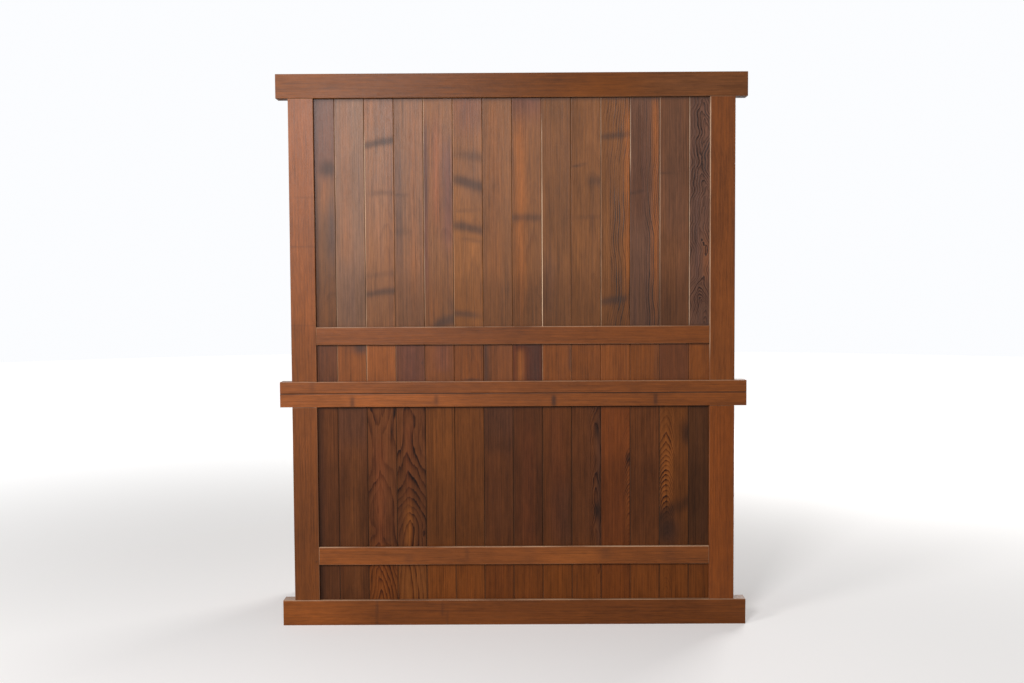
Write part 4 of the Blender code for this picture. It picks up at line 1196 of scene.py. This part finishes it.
def deck_boards(case, seed):
    """The floor of the door compartment, and three kickers below it that keep the drawers level."""
    node = f"{case.name}_drawer_deck"
    low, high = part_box(node)
    edges = [low.y, case.front_inner_y + FIT, *DECK_SEAMS, case.back_inner_y - FIT, high.y]
    deck = Timber()
    for number, (near, far) in enumerate(zip(edges, edges[1:])):
        inside = 0 < number < len(edges) - 2
        reach = high.x if inside else case.inner_x - FIT
        deck.add(
            (-reach, near, case.mid_high - BOARD_THICKNESS),
            (reach, far - (INNER_SEAM if inside else 0), case.mid_high),
            "x", INSIDE_LOOKS[number % 2], seed + number, DECK_EASE,
        )
    for middle in (-case.inner_x, 0, case.inner_x):
        deck.add(
            (middle - KICKER_HALF, case.front_inner_y + FIT, case.mid_low),
            (middle + KICKER_HALF, case.back_inner_y - FIT, case.mid_high - BOARD_THICKNESS),
            "y", pale_inside, seed + 9, TOP_EASE,
        )
    deck.piece(f"{node}_timber", inner_wood, case.body, node)


def divider(case, seed):
    """The upright between the drawers: a stile in front and a board behind it."""
    node = f"{case.name}_drawer_divider"
    low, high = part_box(node)
    upright = Timber().add(
        (low.x, low.y, case.floor + FIT), (high.x, case.front_inner_y, case.mid_low - FIT), "z", framing, seed
    )
    upright.add(
        (low.x, case.front_inner_y, case.floor + FIT), (high.x, high.y, case.mid_low - FIT),
        "y", pale_inside, seed + 4, INNER_EASE,
    )
    upright.piece(f"{node}_timber", frame_wood, case.body, node)


def shelf_boards(seed):
    """The shelf of the upper case: four boards notched round the back posts."""
    low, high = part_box("upper_shelf")
    edges = [low.y, *SHELF_SEAMS, upper.back_inner_y - FIT, high.y]
    shelf = Timber()
    for number, (near, far) in enumerate(zip(edges, edges[1:])):
        reach = upper.inner_x - FIT if number == len(edges) - 2 else high.x
        shelf.add(
            (-reach, near, low.z), (reach, far - INNER_SEAM, high.z),
            "x", INSIDE_LOOKS[number % 2], seed + number, TOP_EASE,
        )
    shelf.piece("upper_shelf_timber", inner_wood, upper.body, "upper_shelf")


# The doors


class Door:
    """A sliding door's places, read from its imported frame: x is across, y through it, z up."""

    def __init__(self, case, side_name, kind):
        self.body = f"{case.name}_{side_name}_door"
        self.node = f"{self.body}_{kind}"
        low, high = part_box(self.node)
        self.side = SIDES[side_name]
        self.left, self.right = low.x, high.x
        self.front, self.back = low.y, high.y
        self.sill, self.head = low.z, high.z
        self.low = case.mid_high + DOOR_FOOT_GAP
        self.high = case.head - DOOR_HEAD_GAP
        self.field_left, self.field_right = low.x + DOOR_STILE, high.x - DOOR_STILE
        self.field_low, self.field_high = self.low + DOOR_BOTTOM_RAIL, self.high - DOOR_TOP_RAIL
        self.panel_front = self.back - PANEL_THICKNESS
        self.middle = (low.y + high.y) / 2


def door_frame(door, seed):
    """Two stiles, with a recess for the pull in the outer one, and two rails with tongues for the grooves."""
    stiles = ((door.left, door.field_left), (door.field_right, door.right))
    for number, (left, right) in enumerate(stiles):
        stile = Timber().add(
            (left, door.front, door.low), (right, door.back, door.high),
            "z", joinery, seed + number, JOINERY_EASE, TOP_CELL,
        )
        made = stile.piece(f"{door.body}_stile_{number + 1}", door_wood, door.body, door.node)
        if (number == 1) == (door.side > 0):
            carve_pull(made, stile, (left + right) / 2, door)
    rails = {"bottom": (door.low, door.field_low), "top": (door.field_high, door.high)}
    for level, (low, high) in rails.items():
        rail = Timber().add(
            (door.field_left, door.front, low), (door.field_right, door.back, high),
            "x", joinery, seed + 7, JOINERY_EASE,
        )
        tongue = (door.sill, door.low) if level == "bottom" else (door.high, door.head)
        rail.add(
            (door.left + JOINERY_EASE, door.middle - TONGUE_HALF, tongue[0]),
            (door.right - JOINERY_EASE, door.middle + TONGUE_HALF, tongue[1]),
            "x", joinery, seed + 8, TONGUE_EASE,
        )
        rail.piece(f"{door.body}_{level}_rail", door_wood, door.body, door.node)


def equal_bars(low, high, spaces, bar):
    """The low and high edges of bars that share a field into equal spaces."""
    space = (high - low - (spaces - 1) * bar) / spaces
    return [(low + step * (space + bar) - bar, low + step * (space + bar)) for step in range(1, spaces)]


def door_bars(door, pattern, seed):
    """Upright bars in front, and crossbars threaded through them, set back a little.

    The pattern gives how many spaces lie side by side, an upright's width, how many lie above one another,
    and a crossbar's height.
    """
    columns, upright, rows, crossbar = pattern
    upright_bars = equal_bars(door.field_left + FIELD_LIP, door.field_right - FIELD_LIP, columns, upright)
    cross_bars = equal_bars(door.field_low + FIELD_LIP, door.field_high - FIELD_LIP, rows, crossbar)
    far = door.panel_front - FIT
    bars = Timber()
    for number, (left, right) in enumerate(upright_bars):
        bars.add(
            (left, door.front + BAR_SETBACK, door.field_low - BAR_END),
            (right, far, door.field_high + BAR_END),
            "z", joinery, seed + number, BAR_EASE, BAR_CELL,
        )
    for number, (low, high) in enumerate(cross_bars):
        bars.add(
            (door.field_left - BAR_END, door.front + CROSSBAR_SETBACK, low),
            (door.field_right + BAR_END, far - CROSSBAR_BACK, high),
            "x", joinery, seed + 50 + number, BAR_EASE, BAR_CELL,
        )
    bars.piece(f"{door.body}_bars", door_wood, door.body, door.node)


def door_panel(door, seed):
    """Six thin boards let into the back of the door."""
    node = f"{door.body}_panel"
    low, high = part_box(node)
    edges = np.linspace(low.x, high.x, PANEL_BOARDS + 1)
    for number, (left, right) in enumerate(zip(edges, edges[1:]), 1):
        look = PANEL_LOOKS[(number + seed) % len(PANEL_LOOKS)]
        board = Timber().add(
            (left + PANEL_GAP, low.y, low.z), (right - PANEL_GAP, high.y, high.z),
            "z", look, seed + 17 * number, PANEL_EASE, PANEL_CELL,
        )
        board.piece(f"{node}_{number}", board_wood, door.body, node)


def turns_round(steps):
    """Equal turns round a circle, in radians, from 0."""
    return np.linspace(0, 2 * np.pi, steps, endpoint=False)


def oval_rings(middle, radii, rings):
    """Rings round an oval that faces -Y, at angle t: (a + s) cos t across and (b + s) sin t up.

    a and b are its radii. Each ring has a depth behind the middle and a spread s past the outline.
    """
    turns = turns_round(PULL_STEPS)
    points = []
    for depth, wider in rings:
        across = middle[0] + (radii[0] + wider) * np.cos(turns)
        up = middle[2] + (radii[1] + wider) * np.sin(turns)
        points.append(np.stack([across, np.full(PULL_STEPS, middle[1] + depth), up], -1))
    return np.concatenate(points)


def ringed_faces(rings, steps, closed=False):
    """Quads between neighbouring rings, with the first and last joined to each other or capped."""
    row, column = np.meshgrid(np.arange(rings if closed else rings - 1), np.arange(steps), indexing="ij")
    low, high = row * steps, (row + 1) % rings * steps
    after = (column + 1) % steps
    quads = np.stack([low + column, low + after, high + after, high + column], -1)
    faces = quads.reshape(-1, 4).tolist()
    if not closed:
        faces.append(list(range(steps))[::-1])
        faces.append([(rings - 1) * steps + step for step in range(steps)])
    return faces


def carve_pull(stile, timber, middle_x, door):
    """Sinks an oval recess in a stile, and sets an iron cup in it with a lip that stands a little proud."""
    middle = (middle_x, door.front, (door.low + door.high) / 2)
    radii = (PULL_WIDTH / 2, PULL_HEIGHT / 2)
    points = oval_rings(middle, radii, ((PULL_DEPTH, 0.0), (CUTTER_FRONT, 0.0)))
    mesh = bpy.data.meshes.new("recess")
    mesh.from_pydata(points.tolist(), [], ringed_faces(2, PULL_STEPS))
    cutter = bpy.data.objects.new("recess", mesh)
    bpy.context.scene.collection.objects.link(cutter)
    cut = stile.modifiers.new("recess", "BOOLEAN")
    cut.operation = "DIFFERENCE"
    cut.object = cutter
    cut.solver = "EXACT"
    bpy.context.view_layer.update()
    carved = bpy.data.meshes.new_from_object(stile.evaluated_get(bpy.context.evaluated_depsgraph_get()))
    stile.modifiers.clear()
    stile.data = carved
    bpy.data.objects.remove(cutter)
    timber.store(carved)
    carved.set_sharp_from_angle(angle=math.radians(40))
    faces = ringed_faces(len(CUP), PULL_STEPS, closed=True)
    floor = [CUP_FLOOR * PULL_STEPS + step for step in range(PULL_STEPS)]
    under = [corner + PULL_STEPS for corner in floor]
    faces = [face for face in faces if not set(face) <= set(floor + under)]
    faces += [floor[::-1], under]
    new_piece(f"{door.body}_pull", oval_rings(middle, radii, CUP), faces, iron, door.body, door.node)


# The iron of the drawers


def iron_plate(prefix, body):
    """A plate with round ends and a dished edge, two eyes, and four nails.

    Its outline is two half circles, each shifted towards its end, and its rim draws in ring by ring.
    """
    node = f"{prefix}_handle_plate"
    low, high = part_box(node)
    middle_x, level = (low.x + high.x) / 2, (low.z + high.z) / 2
    front = high.y - PLATE_THICKNESS
    radius = (high.z - low.z) / 2
    straight_x = (high.x - low.x) / 2 - radius
    half_turn = np.linspace(-np.pi / 2, np.pi / 2, PLATE_STEPS)
    outline = np.concatenate([half_turn, half_turn + np.pi])
    shift = np.repeat([straight_x, -straight_x], PLATE_STEPS)
    rings = []
    for depth, drawn in PLATE_RIM:
        across = middle_x + (shift + (radius - drawn) * np.cos(outline))
        up = level + (radius - drawn) * np.sin(outline)
        rings.append(np.stack([across, np.full(len(outline), high.y + depth), up], -1))
    faces = ringed_faces(len(rings), len(outline))
    new_piece(f"{prefix}_plate", np.concatenate(rings), faces, iron, body, node)
    eye_y = low.y + EYE_RADIUS
    for side in SIDES.values():
        eye = eye_loop(middle_x + side * EYE_SPACING / 2, eye_y, level, front)
        new_piece(f"{prefix}_eye_{'right' if side > 0 else 'left'}", *eye, iron, body, node)
    nails = []
    nail_faces = []
    for place_x in NAIL_PLACES:
        points, faces = nail((middle_x + place_x, front, level))
        nail_faces += [[corner + len(nails) * len(points) for corner in face] for face in faces]
        nails.append(points)
    new_piece(f"{prefix}_nails", np.concatenate(nails), nail_faces, iron, body, node)


def nail(place, steps=12):
    """A domed nail head that faces -Y: at a rise r its ring is as wide as cos r and stands out as sin r."""
    turns = turns_round(steps)
    points = []
    for rise in np.linspace(0, np.pi / 2, 5)[:-1]:
        across = place[0] + NAIL_RADIUS * np.cos(rise) * np.cos(turns)
        up = place[2] + NAIL_RADIUS * np.cos(rise) * np.sin(turns)
        out = place[1] + NAIL_SINK - NAIL_HEIGHT * np.sin(rise)
        points.append(np.stack([across, np.full(steps, out), up], -1))
    return np.concatenate(points), ringed_faces(len(points), steps)


def sideways(path):
    """Unit directions to the side of a flat path."""
    along = np.gradient(path, axis=0)
    along /= np.linalg.norm(along, axis=1)[:, None]
    return np.stack([along[:, 1], -along[:, 0]], -1)


def eye_loop(x, y, level, plate_y, steps=24):
    """An eye bent from flat bar: a ring round the bail's pivot, with its two ends brought to the plate.

    Its section, a bar with rounded edges, is carried along a path that comes from the plate, goes round the
    pivot and returns.
    """
    turns = np.linspace(-EYE_BEND, EYE_BEND, steps) * np.pi
    bend = np.stack([y - EYE_CORE * np.cos(turns), level + EYE_CORE * np.sin(turns)], -1)
    leg = np.array([[plate_y + EYE_SINK, EYE_LEG], [plate_y - EYE_LEG_REACH, EYE_LEG]])
    low = np.stack([leg[:, 0], level - leg[:, 1]], -1)
    high = np.stack([leg[::-1, 0], level + leg[::-1, 1]], -1)
    path = np.concatenate([low, bend, high])
    aside = sideways(path)
    bar, _ = section(EYE_LENGTH / 2, EYE_BAR / 2, EYE_EASE, EYE_CELL)
    rings = [
        np.stack([x + bar[:, 0], here[0] + bar[:, 1] * out[0], here[1] + bar[:, 1] * out[1]], -1)
        for here, out in zip(path, aside)
    ]
    return np.concatenate(rings), ringed_faces(len(rings), len(bar))


def bail(prefix, body):
    """A round rod bent to a bail: each ring lies r cos t to the path's side and r sin t to the front.

    The path comes from an eye, goes round a shoulder, down, round a corner and along the grip, and back the
    same way. The radius r swells along the grip.
    """
    node = f"{prefix}_bail"
    low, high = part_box(node)
    middle_x = (low.x + high.x) / 2
    pivot_y, pivot_z = (low.y + high.y) / 2, high.z - BAIL_ROD
    arm = (high.x - low.x) / 2 - BAIL_ROD
    drop = high.z - low.z - BAIL_ROD * (2 + BAIL_SWELL)
    level = BAIL_CORNER - drop
    turn = np.linspace(0, np.pi / 2, 9)
    side_z = np.linspace(-BAIL_SHOULDER, level, 6)[1:-1]
    grip_x = np.linspace(arm - BAIL_CORNER, 0, 8)[1:]
    shoulder_x = arm - BAIL_SHOULDER + BAIL_SHOULDER * np.sin(turn)
    corner_x = arm - BAIL_CORNER + BAIL_CORNER * np.cos(turn)
    across = [[BAIL_END, BAIL_END + BAIL_ENTRY], shoulder_x, np.full(len(side_z), arm), corner_x, grip_x]
    shoulder_z = BAIL_SHOULDER * (np.cos(turn) - 1)
    up = [[0.0, 0.0], shoulder_z, side_z, level - BAIL_CORNER * np.sin(turn), np.full(len(grip_x), -drop)]
    half = np.stack([np.concatenate(across), np.concatenate(up)], -1)
    path = np.concatenate([half, half[-2::-1] * (-1, 1)])
    grip = (arm - BAIL_CORNER) * BAIL_GRIP_SHARE
    on_grip = between(path[:, 0], -grip, grip, BAIL_ROD) * (path[:, 1] < 2 * BAIL_CORNER - drop)
    radii = (1 + BAIL_SWELL * on_grip) * BAIL_ROD
    aside = sideways(path)
    turns = turns_round(BAIL_SIDES)
    rings = []
    for here, out, radius in zip(path, -aside, radii):
        flat = here + out * radius * np.cos(turns)[:, None]
        depth = pivot_y - radius * np.sin(turns)
        rings.append(np.stack([middle_x + flat[:, 0], depth, pivot_z + flat[:, 1]], -1))
    faces = ringed_faces(len(rings), BAIL_SIDES)
    new_piece(f"{prefix}_bail_rod", np.concatenate(rings), faces, iron, body, node)


pale_inside = Look(SOFTWOOD, Cut(0.05, 0.16, 0.004, strength=0.3), edges=0.2)
cool_inside = Look(SOFTWOOD * 0.9, Cut(-0.04, 0.10, 0.005, strength=0.3), edges=0.2)
INSIDE_LOOKS = [pale_inside, cool_inside]
joinery = Look(STAINED * 1.02, Cut(0.05, 0.12, 0.0026, strength=0.25), edges=0.6)
PANEL_TONES = [
    (BROWN, quarter), (UMBER * 1.1, flat), (AMBER * 0.9, quarter), (BROWN, flat), (RUST * 0.9, quarter)
]
TOP_TONES = [(BROWN, flat), (AMBER * 0.85, quarter), (BROWN * 0.95, flat), (UMBER * 1.2, quarter)]
PANEL_LOOKS = [Look(*pair) for pair in PANEL_TONES]
TOP_LOOKS = [Look(*pair) for pair in TOP_TONES]

for case, seed in ((lower, 5000), (upper, 6000)):
    shelf_level = (case.mid_high + case.head) / 2 - CLEAT_BELOW_MIDDLE
    shelves = [shelf_level] if case is upper else []
    for side_name, side in SIDES.items():
        side_panel(case, side_name, side, [case.mid_high - BOARD_THICKNESS, *shelves], seed + side * 100)
    top_boards(case, seed + 300)
    bottom_boards(case, seed + 400)
    deck_boards(case, seed + 500)
    divider(case, seed + 600)
shelf_boards(6800)

for side_name, side in SIDES.items():
    for case, kind, pattern, seed in ((upper, "lattice", LATTICE, 7000), (lower, "frame", BATTENS, 9000)):
        door = Door(case, side_name, kind)
        door_frame(door, seed + 500 * side)
        door_bars(door, pattern, seed + 500 * side + 30)
        door_panel(door, seed + 500 * side + 100)
    for case in (lower, upper):
        prefix = f"{case.name}_{side_name}"
        iron_plate(prefix, f"{prefix}_drawer")
        bail(prefix, f"{prefix}_bail_swing")


# The solids that stay: rails with tracks, and dovetailed drawers


def dress(node, finish):
    """Gives a CAD solid a finish."""
    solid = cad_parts[node]
    solid.data.materials.clear()
    solid.data.materials.append(finish)


DRAWER_FACES = {
    "lower_left": (RUST, Cut(0.01, 0.05, 0.006, taper=0.02, strength=0.5)),
    "lower_right": (RUST * 1.05, Cut(-0.02, 0.045, 0.006, taper=-0.02, strength=0.5)),
    "upper_left": (RUST * 1.02, Cut(-0.01, 0.05, 0.0055, taper=0.03, strength=0.5)),
    "upper_right": (RUST * 0.97, Cut(0.02, 0.05, 0.0065, taper=-0.02, strength=0.5)),
}
for case in (lower, upper):
    for level in ("mid", "top"):
        node = f"{case.name}_front_{level}_rail"
        place = (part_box(node)[0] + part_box(node)[1]) / 2
        dress(node, timber_paint("frame_wood", 0.38, 0.40, 0.60, 0.35, by_place("x", framing, place)))
    for side_name in SIDES:
        prefix = f"{case.name}_{side_name}"
        tone, cut = DRAWER_FACES[prefix]
        node = f"{prefix}_drawer_front"
        place = (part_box(node)[0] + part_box(node)[1]) / 2
        dress(node, timber_paint("drawer_wood", 0.44, 0.22, 0.20, 0.4, by_place("x", Look(tone, cut), place)))
        node = f"{prefix}_drawer_tray"
        dress(node, timber_paint("inner_wood", 0.62, 0.22, 0.22, 0.3, by_place("y", pale_inside, place)))


# The floor, the light and the camera


def stage():
    """A plain pale round floor, a little brighter to the eye than its light alone makes it."""
    turns = turns_round(96)
    rim = FLOOR_RADIUS * np.stack([np.cos(turns), np.sin(turns), 0 * turns], -1)
    mesh = bpy.data.meshes.new("floor")
    mesh.from_pydata(rim.tolist(), [], [list(range(len(rim)))])
    floor = bpy.data.objects.new("floor", mesh)
    bpy.context.scene.collection.objects.link(floor)
    paint = Paint("pale_floor", 0.8)
    path = paint.node("ShaderNodeLightPath", {}, {}, "Is Camera Ray")
    place = paint.node("ShaderNodeTexCoord", {}, {}, "Object")
    distance = paint.node("ShaderNodeVectorMath", {"operation": "LENGTH"}, [place], "Value")
    far = 0.22 + distance.step(1.2, 5.5) * 0.66
    glow = paint.mix(path * far, (0.0, 0.0, 0.0, 1.0), (1.0, 1.0, 1.0, 1.0))
    paint.feed(paint.shader.inputs["Emission Color"], glow)
    paint.shader.inputs["Emission Strength"].default_value = 1.0
    mesh.materials.append(paint.finish(FLOOR_PAINT))


def lamp(name, place, aim, size, power, colour):
    """A soft square lamp at a place, facing a point."""
    light = bpy.data.lights.new(name, "AREA")
    light.size = size
    light.energy = power
    light.color = colour
    made = bpy.data.objects.new(name, light)
    bpy.context.scene.collection.objects.link(made)
    made.location = place
    direction = np.array(aim) - np.array(place)
    made.rotation_euler = Vector(direction).to_track_quat("-Z", "Y").to_euler()


def sky():
    """Pale light from all round, which the camera and reflections see as white."""
    world = bpy.data.worlds.new("studio")
    world.use_nodes = True
    bpy.context.scene.world = world
    nodes, links = world.node_tree.nodes, world.node_tree.links
    background = nodes["Background"]
    background.inputs["Color"].default_value = (0.97, 0.98, 1.0, 1.0)
    path = nodes.new("ShaderNodeLightPath")
    seen = path.outputs["Is Camera Ray"]
    for ray in ("Is Glossy Ray", "Is Transmission Ray"):
        either = nodes.new("ShaderNodeMath")
        either.operation = "MAXIMUM"
        links.new(seen, either.inputs[0])
        links.new(path.outputs[ray], either.inputs[1])
        seen = either.outputs[0]
    strength = nodes.new("ShaderNodeMapRange")
    strength.inputs["To Min"].default_value = FILL
    strength.inputs["To Max"].default_value = 1.0
    links.new(seen, strength.inputs["Value"])
    links.new(strength.outputs["Result"], background.inputs["Strength"])


def camera():
    """The photograph's camera, behind the tansu and looking at its back."""
    pitch, yaw, roll = (math.radians(angle) for angle in (CAMERA_PITCH, CAMERA_YAW, CAMERA_ROLL))
    forward = np.array([math.sin(yaw) * math.cos(pitch), math.cos(yaw) * math.cos(pitch), -math.sin(pitch)])
    level = np.array([math.cos(yaw), -math.sin(yaw), 0])
    above = np.cross(level, forward)
    right = level * math.cos(roll) + above * math.sin(roll)
    up = above * math.cos(roll) - level * math.sin(roll)
    turned_round = np.diag([-1, -1, 1])
    columns = np.stack([turned_round @ right, turned_round @ up, -turned_round @ forward], -1)
    data = bpy.data.cameras.new("camera")
    data.sensor_width = SENSOR_WIDTH
    data.lens = FOCAL_PIXELS / FRAME_WIDTH_PIXELS * SENSOR_WIDTH
    made = bpy.data.objects.new("camera", data)
    bpy.context.scene.collection.objects.link(made)
    matrix = np.eye(4)
    matrix[:3, :3] = columns
    matrix[:3, 3] = (CAMERA_X, upper.back_y + CAMERA_BACK, CAMERA_HEIGHT)
    made.matrix_world = Matrix(matrix.tolist())
    bpy.context.scene.camera = made


stage()
lamp("window", (3.5, 3.6, 2.7), (0.1, 0.2, 0.9), 1.2, 108, (1.0, 0.98, 0.96))
lamp("glare", (1.15, 4.25, 2.35), (0.3, 0.2, 1.4), 0.9, 138, (1.0, 0.98, 0.99))
lamp("front_window", (-2.5, -3.6, 2.6), (0, -0.2, 0.9), 2.0, 120, (1.0, 0.98, 0.96))
sky()
camera()
bpy.context.scene.view_settings.view_transform = "Standard"
